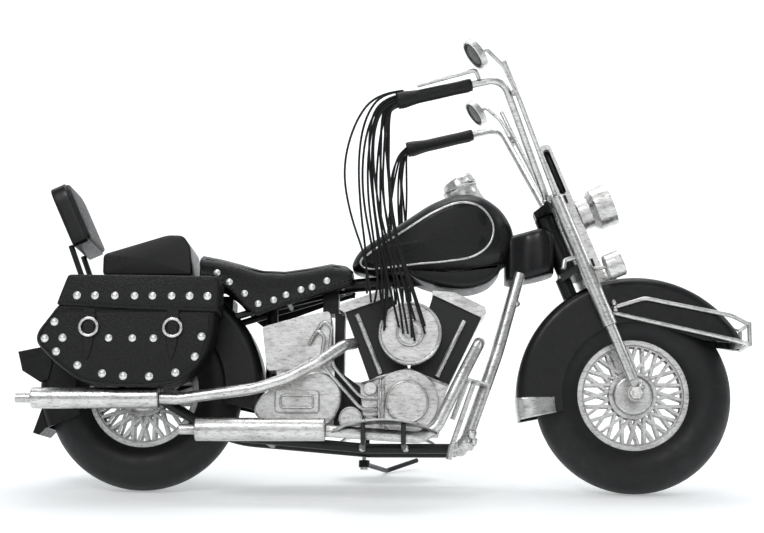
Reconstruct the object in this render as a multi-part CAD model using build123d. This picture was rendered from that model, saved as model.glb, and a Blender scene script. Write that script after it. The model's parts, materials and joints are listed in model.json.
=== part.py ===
"""Hand-soldered tin cruiser motorcycle, 38 cm long, leaning on its side stand.

Everything is drawn upright and pointing straight ahead in the bike frame: +X forward, +Y to the
bike's left, +Z up, floor at z = 0. The front assembly is then turned to its rest angle, and the
whole bike is leaned onto its side stand and moved so that the origin is under its middle.
"""
from build123d import *
from math import atan2, cos, degrees, radians, sin, tan
import os

# ---------------------------------------------------------------- driving dimensions, mm
LEAN = 12.0                    # the bike leans to its left, onto the stand
STEER_REST = 3.0               # the front wheel stands this far to the right
RAKE = 21.8                    # steering axis from the vertical
REAR_AXLE_X = -126.5
FRONT_AXLE_X = 127.0
TYRE_R = 50.5                  # outer radius of both tyres, and height of both axles
TYRE_TUBE_R = 11.9             # the tyre's round section
BEAD_R = 28.6                  # where the tyre sits on its rim
AXLE_R = 2.0
RUN_FIT = 0.05                 # radial clearance of everything that turns
FENDER_R = 61.5                # the front one
FENDER_HALF = 15.5
FENDER_SHELL = 1.0
TAIL_HALF = 16.8
LEG_Y = 20.5                   # fork legs, each side
LEG_AHEAD = 1.7                # the legs' line passes this far in front of the axle
STEER_BEHIND = 6.5             # the steering axis passes this far behind the axle
BAR_D = 3.8
BAG_IN_Y = 20.0
BAG_OUT_Y = 42.0
RAIL_Y = 19.0
RAIL_D = 5.0
STAND_WIRE_D = 2.6
STUD_R = 2.0
STUD_H = 1.0
THONG_D = 1.2

AXLE_Z = TYRE_R
TYRE_MID_R = TYRE_R - TYRE_TUBE_R
AXIS_FOOT = Vector(FRONT_AXLE_X - STEER_BEHIND, 0, AXLE_Z)
AXIS_UP = Vector(-sin(radians(RAKE)), 0, cos(radians(RAKE)))
AXIS_AHEAD = Vector(cos(radians(RAKE)), 0, sin(radians(RAKE)))
LEG_A = (STEER_BEHIND + LEG_AHEAD) * cos(radians(RAKE))


# ---------------------------------------------------------------- helpers
def fork_point(ahead, y, up):
    """A point in the fork's own frame: ahead of the steering axis, across, and up along it."""
    p = AXIS_FOOT + AXIS_AHEAD * ahead + AXIS_UP * up
    return (p.X, y, p.Z)


def rod(points, diameter, bend=None):
    """Round rod through the points, with a round bend at each corner."""
    points = [Vector(*p) for p in points]
    if len(points) == 2:
        path = Line(*points)
    else:
        if bend is None:
            bend = [corner_radius(*trio) for trio in zip(points, points[1:], points[2:])]
        path = FilletPolyline(*points, radius=bend)
    return sweep(Plane(origin=path @ 0, z_dir=path % 0) * Circle(diameter / 2), path=path)


def corner_radius(before, corner, after):
    """The largest easy bend: 0.45 of the shorter run, over the tangent of half the turn."""
    turn = (corner - before).get_angle(after - corner)
    shorter = min((corner - before).length, (after - corner).length)
    return 0.45 * shorter / tan(radians(turn) / 2)


def round_bar(start, end, radius):
    """Plain cylinder between two points."""
    start, end = Vector(*start), Vector(*end)
    return extrude(Plane(origin=start, z_dir=end - start) * Circle(radius), (end - start).length)


def slab(sketch, y_low, y_high):
    """A drawing in the XZ plane, given thickness across the bike."""
    return extrude(Plane.XZ.offset(-y_high) * sketch, y_high - y_low)


def outline(points):
    """A closed straight-sided outline."""
    return make_face(Polyline(*points, close=True))


def smooth_outline(points):
    """A closed smooth outline."""
    return make_face(Spline(*points, periodic=True))


def mirrored(shape):
    """The same piece on the bike's left side."""
    return mirror(shape, about=Plane.XZ)


def both_sides(shape):
    """The piece and its mirror image, as separate solids of one node."""
    return group([shape, mirrored(shape)])


def group(shapes):
    """Separate solids in one node."""
    return Compound([s for shape in shapes for s in shape.solids()])


def across(x, z, radius, y_low, y_high):
    """Cylinder whose axis runs across the bike."""
    return slab(Pos(x, z) * Circle(radius), y_low, y_high)


# ---------------------------------------------------------------- wheels
SPOKE_PAIRS = 20
SPOKE_W = 1.5
SPOKE_PLATE = 0.8
SPOKE_PLATE_Y = 4.6
SPOKE_TWIST = 24.0             # degrees that a spoke's two ends are apart round the wheel
RIM_IN_R = 26.0
RIM_HALF = 6.2
HUB_R = 10.3
HUB_FLANGE_R = 12.4
HUB_HALF = 8.2


def tyre():
    """Round black tyre with no tread, bored to sit on the rim."""
    section = Plane.XZ * Pos(TYRE_MID_R, 0) * Circle(TYRE_TUBE_R)
    ring = revolve(section, Axis.Z)
    return ring - Cylinder(BEAD_R, 4 * TYRE_TUBE_R)


def spoke_plate():
    """Stamped disc of flat crossing spokes between the hub and the rim."""
    inner, outer = HUB_R - 0.6, RIM_IN_R + 0.6
    plate = Circle(HUB_R + 0.7) - Circle(HUB_R)
    plate += Circle(RIM_IN_R) - Circle(RIM_IN_R - 0.9)
    for side in (-1, 1):
        for k in range(SPOKE_PAIRS):
            foot = radians(360 / SPOKE_PAIRS * k)
            head = foot + radians(side * SPOKE_TWIST)
            a = Vector(inner * cos(foot), inner * sin(foot))
            b = Vector(outer * cos(head), outer * sin(head))
            mid = (a + b) / 2
            plate += Pos(mid.X, mid.Y) * Rot(0, 0, degrees(atan2(b.Y - a.Y, b.X - a.X))) * Rectangle(
                (b - a).length, SPOKE_W)
    plate = plate & (Circle(RIM_IN_R) - Circle(HUB_R))
    return extrude(plate, SPOKE_PLATE / 2, both=True)


def rim():
    """Rim ring with a spoke plate in each side."""
    ring = Cylinder(BEAD_R, 2 * RIM_HALF) - Cylinder(RIM_IN_R, 3 * RIM_HALF)
    plate = spoke_plate()
    return ring + Pos(0, 0, SPOKE_PLATE_Y) * plate + Pos(0, 0, -SPOKE_PLATE_Y) * plate


def hub():
    """Turned hub with two flanges, running on the axle."""
    body = Cylinder(HUB_R, 2 * HUB_HALF)
    body = fillet(body.edges().filter_by(GeomType.CIRCLE), 1.6)
    for y in (-SPOKE_PLATE_Y, SPOKE_PLATE_Y):
        step = SPOKE_PLATE / 2 + 0.5
        sign = 1 if y > 0 else -1
        body += Pos(0, 0, y + sign * step) * Cylinder(HUB_FLANGE_R, 1.0)
    return body - Cylinder(AXLE_R + RUN_FIT, 4 * HUB_HALF)


NUT_T = 2.4


def axle(x, half_length, nut_y):
    """Plain axle with a hexagon nut near each end."""
    bar = across(x, AXLE_Z, AXLE_R, -half_length, half_length)
    nut = slab(Pos(x, AXLE_Z) * RegularPolygon(3.4, 6), nut_y, nut_y + NUT_T)
    return bar + nut + mirrored(nut)


# ---------------------------------------------------------------- frame
SEAT_POST_X = -61.0
PLATE_T = 2.0


def frame_rails():
    """Lower rails, ending in plates that hold the rear axle, and the struts for fender and bags."""
    points = [(32, -RAIL_Y, 21.6), (-10, -RAIL_Y, 21.4), (-84, -RAIL_Y, 27.5), (-118, -RAIL_Y, 47)]
    rail = rod(points, RAIL_D, [60, 60])
    plate = slab(Pos(REAR_AXLE_X, AXLE_Z) * Circle(6.5), -RAIL_Y - PLATE_T / 2, -RAIL_Y + PLATE_T / 2)
    strut = slab(Pos(REAR_AXLE_X, 76) * Rectangle(7, 50), -RAIL_Y - 0.9, -RAIL_Y + 0.9)
    side = rail + plate + strut
    side -= across(REAR_AXLE_X, AXLE_Z, AXLE_R, -40, 0)
    return both_sides(side)


ENGINE_PLATE = [(-27.6, 30), (-14.4, 30), (-14.4, 54), (-22.6, 60), (-22.6, 90.6), (-25.9, 92.4),
                (-25.9, 106), (-34, 106), (-34, 92.4), (-27.6, 91.9)]


def frame_backbone():
    """Top tube from the steering head to behind the seat, with the seat post, the seat rails and the
    plate that closes the gap behind the engine."""
    top = rod([(82, 0, 129), (34, 0, 113), (-20, 0, 108), (-64, 0, 97)], 7, [60, 60])
    post = round_bar((SEAT_POST_X, 0, 99), (SEAT_POST_X, 0, 25), 2.9)
    foot = across(SEAT_POST_X, 25.8, 2.4, -RAIL_Y + RAIL_D / 2, RAIL_Y - RAIL_D / 2)
    rail = round_bar((-20, -12, 107.4), (-85, -12, 87.6), 1.8)
    bridge = across(-24, 106.2, 1.5, -12, 12) + across(-52, 97.7, 1.5, -12, 12)
    return top + post + foot + bridge + rail + mirrored(rail) + slab(outline(ENGINE_PLATE), -8, 8)


def downtubes():
    """Pair of bright tubes from the neck down to the lower rails, with a solder lump at each foot."""
    tube = rod([(68.5, -11, 113), (56.5, -14.5, 71), (40, -RAIL_Y, 25)], 6, [150])
    lump = Pos(38.5, -RAIL_Y - 1, 23.5) * Sphere(3.6)
    return both_sides(tube + lump)


HEAD_LOW, HEAD_HIGH = 70.3, 101.7
STEM_R = 3.0


def steering_head():
    """Head tube that the fork's stem turns in."""
    tube = round_bar(fork_point(0, 0, HEAD_LOW), fork_point(0, 0, HEAD_HIGH), 5.5)
    bore = round_bar(fork_point(0, 0, HEAD_LOW - 5), fork_point(0, 0, HEAD_HIGH + 5), STEM_R + RUN_FIT)
    return tube - bore


def neck_cover():
    """Sheet wrapped round the frame behind the steering head."""
    return slab(outline([(62.5, 109), (72, 110), (86, 113.5), (80, 138), (64, 133)]), -12, 12)


# ---------------------------------------------------------------- tank, seats, bags
TANK_HALF = 21.5


def fuel_tank():
    """Teardrop tank, narrow at the rear, with a deeper belly at the front."""
    side = smooth_outline([(-20, 117), (-9, 130), (6, 139.2), (22, 149.6), (39, 155.2), (52, 151.5),
                           (64, 137.5), (63.5, 124), (52, 117), (30, 115.4), (6, 115)])
    top = smooth_outline([(-20.4, 0), (-15, -9), (5, -17), (30, -TANK_HALF), (50, -19), (66, -8),
                          (66, 8), (50, 19), (30, TANK_HALF), (5, 17), (-15, 9)])
    tank = slab(side, -TANK_HALF, TANK_HALF) & Pos(0, 0, 90) * extrude(top, 90)
    belly = smooth_outline([(10, 118), (24, 107.5), (41, 104.2), (54, 109), (60, 121), (35, 127)])
    return tank + slab(belly, -12, 12)


def instrument_pod():
    """Cone-shaped instrument pod with a round lid, on top of the tank."""
    stand_up = (Align.CENTER, Align.CENTER, Align.MIN)
    cone = Plane(origin=(44, 0, 144), z_dir=(-0.35, 0, 1)) * Cone(11.5, 8.2, 18, align=stand_up)
    lid = Plane(origin=(38.8, 0, 161.0), z_dir=(-0.6, 0, 1)) * Cylinder(8.7, 5.5, align=stand_up)
    return cone + fillet(lid.edges(), 1.5)


def solo_seat():
    """Low saddle whose leather sides hang down in a point."""
    profile = outline([(-97, 118), (-83, 115.5), (-68, 112), (-52, 111), (-27, 115), (-18.5, 113),
                       (-18.5, 105.5), (-66, 88.5), (-73, 93), (-80.5, 101.5), (-88, 107.5), (-97, 109.5)])
    seat = slab(profile, -24, 24)
    tunnel = slab(outline([(-100, 60), (-10, 60), (-10, 106), (-62, 100), (-100, 105)]), -21.5, 21.5)
    return seat - tunnel


def pillion_seat():
    """Raised passenger seat box behind the saddle."""
    profile = outline([(-148, 108.5), (-148, 120.5), (-115, 131.5), (-107, 131.5), (-103, 125),
                       (-101.5, 108.5)])
    return fillet(slab(profile, -18, 18).edges(), 2)


BACK_TILT = 25.0
BACK_AT = (-166.4, 0, 142.5)


def backrest_pad():
    """Padded backrest, leaning back."""
    pad = Box(9.5, 42, 34.5)
    pad = fillet(pad.edges().filter_by(Axis.X), 8)
    pad = fillet(pad.faces().sort_by(Axis.X)[0].edges() + pad.faces().sort_by(Axis.X)[-1].edges(), 1.5)
    return Pos(*BACK_AT) * Rot(0, -BACK_TILT, 0) * pad


def sissy_bar():
    """Pair of rods that carry the backrest, joined by a cross bar at their feet."""
    side = rod([(-166, -15, 126), (-156, -15, 100.2)], 3)
    return side + mirrored(side) + across(-156, 100.2, 1.5, -15, 15)


def fender(x, z, radius, front_angle, rear_angle, side_in_r):
    """Deep channel-shaped mudguard round x, z, from the front angle over the top to the rear one."""
    deep, wide = radius - side_in_r, 2 * FENDER_HALF
    outer = Pos(radius - deep / 2, 0) * RectangleRounded(deep, wide, 5)
    outer += Pos(side_in_r + 3, 0) * Rectangle(6, wide)
    inner_deep, inner_wide = deep + 8, wide - 2 * FENDER_SHELL
    inner = Pos(radius - FENDER_SHELL - inner_deep / 2, 0) * RectangleRounded(inner_deep, inner_wide, 4)
    ahead = (cos(radians(front_angle)), 0, sin(radians(front_angle)))
    section = Plane(origin=(0, 0, 0), x_dir=ahead, z_dir=(-ahead[2], 0, ahead[0])) * (outer - inner)
    channel = revolve(section, Axis((0, 0, 0), (0, -1, 0)), rear_angle - front_angle)
    return Pos(x, 0, z) * channel


TIP_CUT = [(124, 70), (133, 88), (163, 78), (200, 75), (200, 0), (124, 0)]


def front_fender():
    """Front mudguard, its lower front edge cut straight to the tip."""
    guard = fender(FRONT_AXLE_X + 1.3, 49.7, FENDER_R, 20, 191.5, 38)
    return guard - slab(outline(TIP_CUT), -40, 40)


def rear_fender():
    """Rear mudguard, close behind the wheel and wider ahead of it, with a tail that flicks out."""
    tail = outline([(-177.8, 41), (-181.8, 28.6), (-178.6, 27.6), (-174.9, 31.5), (-177.2, 39)])
    return fender(-121.6, 52.4, 57.6, -12, 202, 38.5) + slab(tail, -13, 13)


def tail_light():
    """Tail light box that wraps the fender's sides under the rear of the bags."""
    box = slab(outline([(-190.5, 70), (-176, 73), (-172.7, 64.3), (-174.4, 56.1), (-178.5, 54.4),
                        (-187.9, 60.2)]), -TAIL_HALF, TAIL_HALF)
    return box - slab(Pos(-168.9, 65) * Rectangle(20, 40), -FENDER_HALF, FENDER_HALF)


BAG_PROFILE = [(-86.5, 87.5), (-88, 72), (-92, 63), (-106, 51.5), (-120, 49.6), (-136, 49.8),
               (-154, 53), (-166, 62), (-175.5, 72), (-175, 77), (-165.5, 89.5)]


def saddlebag():
    """Right saddlebag, rounded at its lower corners."""
    bag = slab(outline(BAG_PROFILE), -BAG_OUT_Y, -BAG_IN_Y)
    return fillet(bag.faces().sort_by(Axis.Y)[0].edges(), 2.5)


def bag_lid():
    """Lid of the right saddlebag, a little proud of it all round."""
    profile = outline([(-85, 87.5), (-165.5, 90.5), (-160, 105.5), (-85, 105.5)])
    lid = slab(profile, -BAG_OUT_Y - 1.2, -BAG_IN_Y)
    lid -= slab(outline(BAG_PROFILE), -BAG_OUT_Y, -BAG_IN_Y)
    return lid


RING_XZ = [(-149, 79.4), (-107, 79.2)]
RING_R = 4.4


def bag_straps():
    """Pointed straps that hang from the lid."""
    straps = []
    for x, z in RING_XZ:
        strap = slab(outline([(x - 3, 88.5), (x + 3, 88.5), (x + 2.2, 70), (x - 1.2, 63), (x - 2.6, 70)]),
                     -BAG_OUT_Y - 0.9, -BAG_OUT_Y)
        straps += [strap - bag_lid()]
    return group(straps + [mirrored(s) for s in straps])


def bag_rings():
    """Round wire buckle on each strap."""
    rings = []
    for x, z in RING_XZ:
        ring = Pos(x, -BAG_OUT_Y - 1.7, z) * Rot(90, 0, 0) * Torus(RING_R, 0.8)
        rings += [ring, mirrored(ring)]
    return group(rings)


LID_STUD_X = [-155.5, -146.5, -136.5, -126.5, -117.5, -108.0, -99.0, -90.0]
BODY_STUD_XZ = [(-166.5, 82), (-171, 73.6), (-162, 74), (-165, 67), (-154, 60.2), (-141.5, 56.2),
                (-131, 55), (-118, 54.8), (-105, 56.8), (-95.5, 64.8), (-92.5, 75), (-139, 74),
                (-127, 74), (-116.5, 74)]
SEAT_STUD_XZ = [(-88, 110.5), (-81.5, 105.7), (-73.5, 99.8), (-66.5, 94.5), (-58.5, 96.5),
                (-52.3, 99.2), (-44.6, 101.9), (-39, 103.3), (-31.4, 106.6)]


def studs():
    """Rivet heads on the bags, the lids and the saddle: short cones with a flat crown."""
    def head(x, y, z, r):
        return Plane(origin=(x, y, z), z_dir=(0, -1, 0)) * Cone(r, 0.5 * r, STUD_H, align=(
            Align.CENTER, Align.CENTER, Align.MIN))
    right = [head(x, -BAG_OUT_Y - 1.2, 95.2, STUD_R) for x in LID_STUD_X]
    right += [head(x, -BAG_OUT_Y, z, STUD_R) for x, z in BODY_STUD_XZ]
    right += [head(x, -24, z, STUD_R * 0.85) for x, z in SEAT_STUD_XZ]
    return group(right + [mirrored(h) for h in right])


# ---------------------------------------------------------------- engine
ENGINE_Y = 13.0


def crankcase():
    """Pointed crankcase."""
    return slab(outline([(-12.2, 29), (-12.2, 37), (-13.7, 51), (-12, 54.4), (-4.7, 58.1), (10.9, 62.3),
                         (31.3, 53.7), (27.5, 43.5), (26.5, 29)]), -20, 15)


def cylinder_rear():
    """Rear cylinder."""
    barrel = outline([(-22, 91.8), (2, 100.3), (10.7, 62.3), (-4.7, 58.1), (-9.3, 56.9)])
    return slab(barrel, -ENGINE_Y, ENGINE_Y) - crankcase()


def cylinder_front():
    """Front cylinder."""
    barrel = outline([(23.3, 101), (48.3, 89.3), (31.3, 54), (11.2, 62.2)])
    return slab(barrel, -ENGINE_Y, ENGINE_Y) - crankcase()


def rocker_covers():
    """Silver rocker cover on each cylinder."""
    rear = outline([(-22.6, 91.6), (-25.3, 93), (-24.5, 96), (-5, 103), (2.2, 105.4), (2.2, 100.4),
                    (2, 100.3), (-22, 91.8)])
    front = outline([(48.3, 89.3), (50.8, 92), (50, 95), (34, 102.6), (23, 103.3), (23.3, 101)])
    return group([slab(rear, -15, 15), slab(front, -15, 15)])


def pushrod_tubes():
    """Slim bright tube beside each cylinder."""
    rear = rod([(-16, -15.5, 90.4), (-3.6, -15.5, 59.6)], 2.6)
    front = rod([(39.3, -15.5, 87.5), (25.2, -15.5, 58.4)], 2.6)
    case = crankcase()
    return group([rear - case, front - case])


AIR_XZ = (11.4, 78.6)


def air_cleaner():
    """Round air cleaner with a stepped cover, on a stub between the cylinders."""
    x, z = AIR_XZ
    cover = across(x, z, 16, -33.5, -27.5)
    cover = fillet(cover.edges().filter_by(GeomType.CIRCLE), 1.4)
    cover += across(x, z, 6.6, -34.7, -33)
    return cover + across(x, z, 3.6, -28, 2)


def cam_cover():
    """Round cover on the side of the crankcase, with the small lobe and disc beside it."""
    plate = across(9.5, 45, 16.2, -23, -20)
    plate &= slab(outline([(-4.6, 29), (-4.6, 62), (30, 62), (30, 29)]), -23, -20)
    disc = across(10.1, 44.7, 10.4, -25.2, -23)
    lobe = across(-8.7, 51.5, 3.2, -22.2, -20)
    return plate + disc + lobe


def gear_cover():
    """Egg-shaped cover behind the crankcase with a raised oblong plate."""
    egg = smooth_outline([(-67, 43), (-61, 50.5), (-46, 57.5), (-33, 59.5), (-24.5, 53), (-23.3, 45.5),
                          (-28, 36), (-38, 33.6), (-58, 34.2), (-66, 37)])
    cover = slab(egg, -24.5, -13)
    cover = fillet(cover.faces().sort_by(Axis.Y)[0].edges(), 1.2)
    plate = slab(Pos(-45.5, 44.3) * RectangleRounded(21.5, 10.5, 1), -25.6, -24.5)
    small = across(-18.5, 36.2, 6, -22.5, -13)
    return group([cover + plate, small - cover])


def primary_cover():
    """Long oval cover on the left side of the engine."""
    hull = slab(Pos(-22, 45) * SlotOverall(78, 27), 15, 23)
    return fillet(hull.faces().sort_by(Axis.Y)[-1].edges(), 2)


def oil_tank():
    """Bright oil tank box under the saddle."""
    profile = outline([(-64.2, 83), (-45, 88.5), (-29.5, 91.5), (-27.8, 63), (-61.5, 60.3)])
    return fillet(slab(profile, -21, 21).edges().filter_by(Axis.Y), 2)


def oil_lines():
    """Two wires that loop out of the oil tank and run down to the crankcase."""
    upper = rod([(-37, -21, 79), (-33, -24.6, 86), (-28.4, -24.6, 83), (-30, -24.6, 65),
                 (-13.2, -24.4, 46.4), (-5, -23, 46.4)], 1.7)
    lower = rod([(-40, -21, 74), (-36, -25.8, 81), (-32, -25.8, 78), (-34, -25.6, 64),
                 (-13, -25.6, 40.6), (-5, -23, 40.6)], 1.7)
    return group([upper, lower])


# ---------------------------------------------------------------- exhaust
PIPE_D = 6.0


def muffler(x_rear, x_front, z, radius):
    """Plain round silencer with a small tail pipe."""
    can = round_bar((x_rear, -34, z), (x_front, -34, z + 0.4), radius)
    can = fillet(can.edges().filter_by(GeomType.CIRCLE), 0.8)
    return can + round_bar((x_rear - 8, -34, z), (x_rear + 1, -34, z), radius * 0.45)


def header_rear():
    """Rear header pipe, from the rear cylinder back to the upper muffler."""
    return rod([(-17.5, -13.5, 75.5), (-22, -27, 73), (-33, -32, 64.5), (-50, -34, 55), (-66, -34, 50),
                (-104, -34, 44.6), (-113.6, -34, 44.9)], PIPE_D, [6, 14, 40, 60, 20])


def header_front():
    """Front header pipe, down and back under the footboard to the lower muffler."""
    return rod([(46, -13.5, 74), (47.5, -24, 76.5), (37, -33, 56), (25, -34, 31.5), (17, -34, 26),
                (-30.3, -34, 29)], PIPE_D, [7, 60, 9, 9])


# ---------------------------------------------------------------- controls and stand
def footboards():
    """Arched oval footboard each side, on two bent legs from the lower rail."""
    arch = outline([(-27, 28.6), (-20, 32.2), (-6, 34), (6, 33.8), (16, 32.2), (25, 28.4),
                    (25, 27.4), (16, 31), (6, 32.6), (-6, 32.8), (-20, 31), (-27, 27.6)])
    plate = slab(arch, -52, -30)
    plate = plate & extrude(Pos(-1, -41) * Ellipse(27, 11), 60)
    rear = rod([(-11.5, -45, 32.2), (-11.5, -42.5, 22.6), (-11.5, -RAIL_Y - RAIL_D / 2, 21.4)], 2.4, 3)
    front = rod([(8.4, -45, 32.2), (8.4, -42.5, 22.6), (8.4, -RAIL_Y - RAIL_D / 2, 21.4)], 2.4, 3)
    return both_sides(plate + rear + front)


def forward_controls():
    """Brake pedal: a plate on the downtube, two slim tubes and a black peg."""
    plate = slab(outline([(36, 57.5), (36.4, 56.2), (51.5, 52.3), (51.1, 53.6)]), -32, -17.5)
    tubes = rod([(44, -29, 55), (32, -29, 21)], 2.6) + rod([(40.5, -23, 55.8), (33, -23, 36)], 2.6)
    return plate + tubes + rod([(32.4, -29, 22), (31, -29, 15.6)], 3)


STAND_Y, STAND_X, STAND_Z = RAIL_Y, -12.5, 15.6
FOOT_X, FOOT_Y = -1.2, 61.0
FLOOR_RISE = TYRE_MID_R * cos(radians(LEAN)) + TYRE_TUBE_R - TYRE_R * cos(radians(LEAN))
FOOT_Z = (STAND_WIRE_D / 2 - FLOOR_RISE + FOOT_Y * sin(radians(LEAN))) / cos(radians(LEAN))
STAND_OUT = Vector(FOOT_X - STAND_X, FOOT_Y - STAND_Y, FOOT_Z - STAND_Z)
STAND_FOLDED = Vector(-1, 0.15, 0)
STAND_AXIS = STAND_OUT.cross(STAND_FOLDED).normalized()
PIN_R = 1.2
EYE_R = 2.9
EYE_HALF = 1.8


def stand_point(along):
    """A point on the stand's pivot axis."""
    p = Vector(STAND_X, STAND_Y, STAND_Z) + STAND_AXIS * along
    return (p.X, p.Y, p.Z)


def kickstand():
    """Bent wire stand with an eye round its pivot pin."""
    start = Vector(STAND_X, STAND_Y, STAND_Z) + STAND_OUT.normalized() * 2.0
    foot = (FOOT_X, FOOT_Y, FOOT_Z)
    toe = (FOOT_X + 17, FOOT_Y + 14, FOOT_Z + 6.6)
    wire = rod([tuple(start), foot, toe], STAND_WIRE_D, 5)
    eye = round_bar(stand_point(-EYE_HALF), stand_point(EYE_HALF), EYE_R)
    bore = round_bar(stand_point(-2 * EYE_HALF), stand_point(2 * EYE_HALF), PIN_R + RUN_FIT)
    return wire + eye - bore


def kickstand_pin():
    """Pivot pin under the left lower rail, with a head under the stand's eye."""
    pin = round_bar(stand_point(-EYE_HALF - 1.3), stand_point(6), PIN_R)
    head = round_bar(stand_point(-EYE_HALF - 1.3), stand_point(-EYE_HALF - 0.1), 2.2)
    return pin + head


# ---------------------------------------------------------------- fork, bars, lamps
UPPER_END, LOWER_END, LEG_TOP = 34.4, 4.4, 106.5
EYE_T = 2.4
CLAMP_T = 4.0


def fork_legs():
    """The wide upper tubes and the thinner lower tubes, as two nodes."""
    upper = round_bar(fork_point(LEG_A, -LEG_Y, UPPER_END), fork_point(LEG_A, -LEG_Y, LEG_TOP), 3.6)
    lower = round_bar(fork_point(LEG_A, -LEG_Y, LOWER_END), fork_point(LEG_A, -LEG_Y, UPPER_END), 2.8)
    eye = across(FRONT_AXLE_X, AXLE_Z, 4.2, -LEG_Y - EYE_T / 2, -LEG_Y + EYE_T / 2)
    foot = Vector(*fork_point(LEG_A, 0, LOWER_END))
    tongue = Pos(foot.X, foot.Z) * Rot(0, 0, RAKE) * Rectangle(4, 9)
    lower += eye + slab(tongue, -LEG_Y - EYE_T / 2, -LEG_Y + EYE_T / 2)
    return both_sides(upper), both_sides(lower - across(FRONT_AXLE_X, AXLE_Z, AXLE_R, -40, 0))


def fork_clamps():
    """Upper and lower clamps joined by the stem that turns in the steering head, and the bracket that
    carries the fender. Each clamp holds the inner half of the fork legs."""
    half = [(-4.8, 5.5), (2.4, LEG_Y - 0.5), (12.6, LEG_Y - 0.5), (12.6, 15.5), (10.4, 13)]
    shape = outline(half + [(a, -y) for a, y in reversed(half)])
    shape -= Pos(LEG_A, LEG_Y) * Circle(3.6) + Pos(LEG_A, -LEG_Y) * Circle(3.6)
    frame = Plane(origin=AXIS_FOOT, x_dir=AXIS_AHEAD, z_dir=AXIS_UP)
    lower = frame * Pos(0, 0, HEAD_LOW - 0.3 - CLAMP_T) * extrude(shape, CLAMP_T)
    upper = frame * Pos(0, 0, HEAD_HIGH + 0.3) * extrude(shape, CLAMP_T)
    stem = round_bar(fork_point(0, 0, HEAD_LOW - 2), fork_point(0, 0, HEAD_HIGH + 2), STEM_R)
    bracket = round_bar(fork_point(-3.5, 0, HEAD_LOW - 2), fork_point(-3.5, 0, 55), 4)
    return lower + upper + stem + bracket


SHROUD_A0, SHROUD_A1 = 10.5, 17.2


def fork_shroud():
    """Flat bright cover in front of the fork, rounded on top, with a long slot in each side."""
    frame = Plane(origin=AXIS_FOOT, x_dir=AXIS_AHEAD, z_dir=-Vector(0, 1, 0))
    width = SHROUD_A1 - SHROUD_A0
    mid = (SHROUD_A0 + SHROUD_A1) / 2
    side = Pos(mid, 97.5) * SlotOverall(81, width, rotation=90)
    slot = Pos(mid, 122) * SlotOverall(26, 3.4, rotation=90)
    body = frame * extrude(side, 6, both=True)
    recess = frame * (Pos(0, 0, 4.6) * extrude(slot, 3) + Pos(0, 0, -7.6) * extrude(slot, 3))
    return body - recess


LAMP_UP = 96.0


def headlight():
    """Headlight: a barrel that widens to a deep ring, with a shallow dish in front."""
    profile = outline([(0, 17.2), (8.4, 17.2), (8.6, 23.2), (11.2, 26.2), (11.5, 35.4), (10.3, 35.4),
                       (9.6, 33.4), (0, 32.2)])
    centre = AXIS_FOOT + AXIS_UP * LAMP_UP
    plane = Plane(origin=centre, x_dir=(0, 1, 0), z_dir=Vector(0, 1, 0).cross(AXIS_AHEAD))
    return revolve(plane * profile, Axis(centre, AXIS_AHEAD))


def passing_lamps():
    """Small round lamp ahead of each fork leg on its own rod, and the rod's stub behind the leg."""
    lamp = round_bar(fork_point(16.5, -23.5, 62), fork_point(25.5, -23.5, 62), 6.7)
    lamp = fillet(lamp.edges().filter_by(GeomType.CIRCLE), 0.9)
    arm = rod([fork_point(LEG_A + 3.0, -LEG_Y, 64.5), fork_point(17.2, -23, 62.6)], 2)
    stub = rod([fork_point(LEG_A - 3.0, -LEG_Y, 73.6), fork_point(-1.2, -21.4, 74),
                fork_point(-3.4, -22, 70.2)], 2.6, 2)
    upper_tubes = fork_legs()[0].solids()
    return both_sides(lamp + arm + stub - upper_tubes)


BAR_ROUTE = [(12, -52, 197), (60, -51, 207.6), (84.5, -10.5, 150)]
GRIP_END_X = 44.8


def handlebar():
    """Tall pull-back bars, one bent tube each side, standing on the upper clamp."""
    bar = rod(BAR_ROUTE, BAR_D, 9) - fork_clamps()
    brace = rod([(61, -50, 217), (66.5, -46, 204), fork_point(LEG_A, -LEG_Y, LEG_TOP)], 2.4, 40)
    return both_sides(bar), both_sides(brace - fork_legs()[0].solids())


def grips():
    """Leather sleeve on each bar end."""
    start, corner = Vector(*BAR_ROUTE[0]), Vector(*BAR_ROUTE[1])
    along = (corner - start).normalized()
    end = start + along * ((GRIP_END_X - start.X) / along.X)
    first = start - along * 1.5
    sleeve = round_bar(first, end, 3.2) - round_bar(start, corner, BAR_D / 2)
    return both_sides(sleeve)


def brake_lever():
    """Wire lever over the right grip, curled down to the bar at its inner end."""
    return rod([(17, -54, 203.3), (30, -54.6, 206.6), (46.5, -54.4, 211), (48.4, -53, 206.6)], 2.2, [20, 2])


MIRROR_R = 8.2


def mirrors():
    """Round mirror each side on a bent wire."""
    pieces = []
    for side in (1, -1):
        face = Vector(-0.78, -0.19, -0.60).normalized()
        centre = Vector(46.4, -57 * side, 218.6)
        disc = Plane(origin=centre, z_dir=face) * Cylinder(MIRROR_R, 3.2)
        disc -= Plane(origin=centre + face * 1.2, z_dir=face) * Cylinder(MIRROR_R - 1, 1.2)
        back = centre - face * 1.4
        stem = rod([tuple(back), (centre.X + 6, -55.6 * side, centre.Z + 2.5), (60.5, -54 * side, 213),
                    (68.6, -50 * side, 197.5)], 2.0, [2, 10])
        pieces += [disc + stem]
    return group(pieces)


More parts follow.
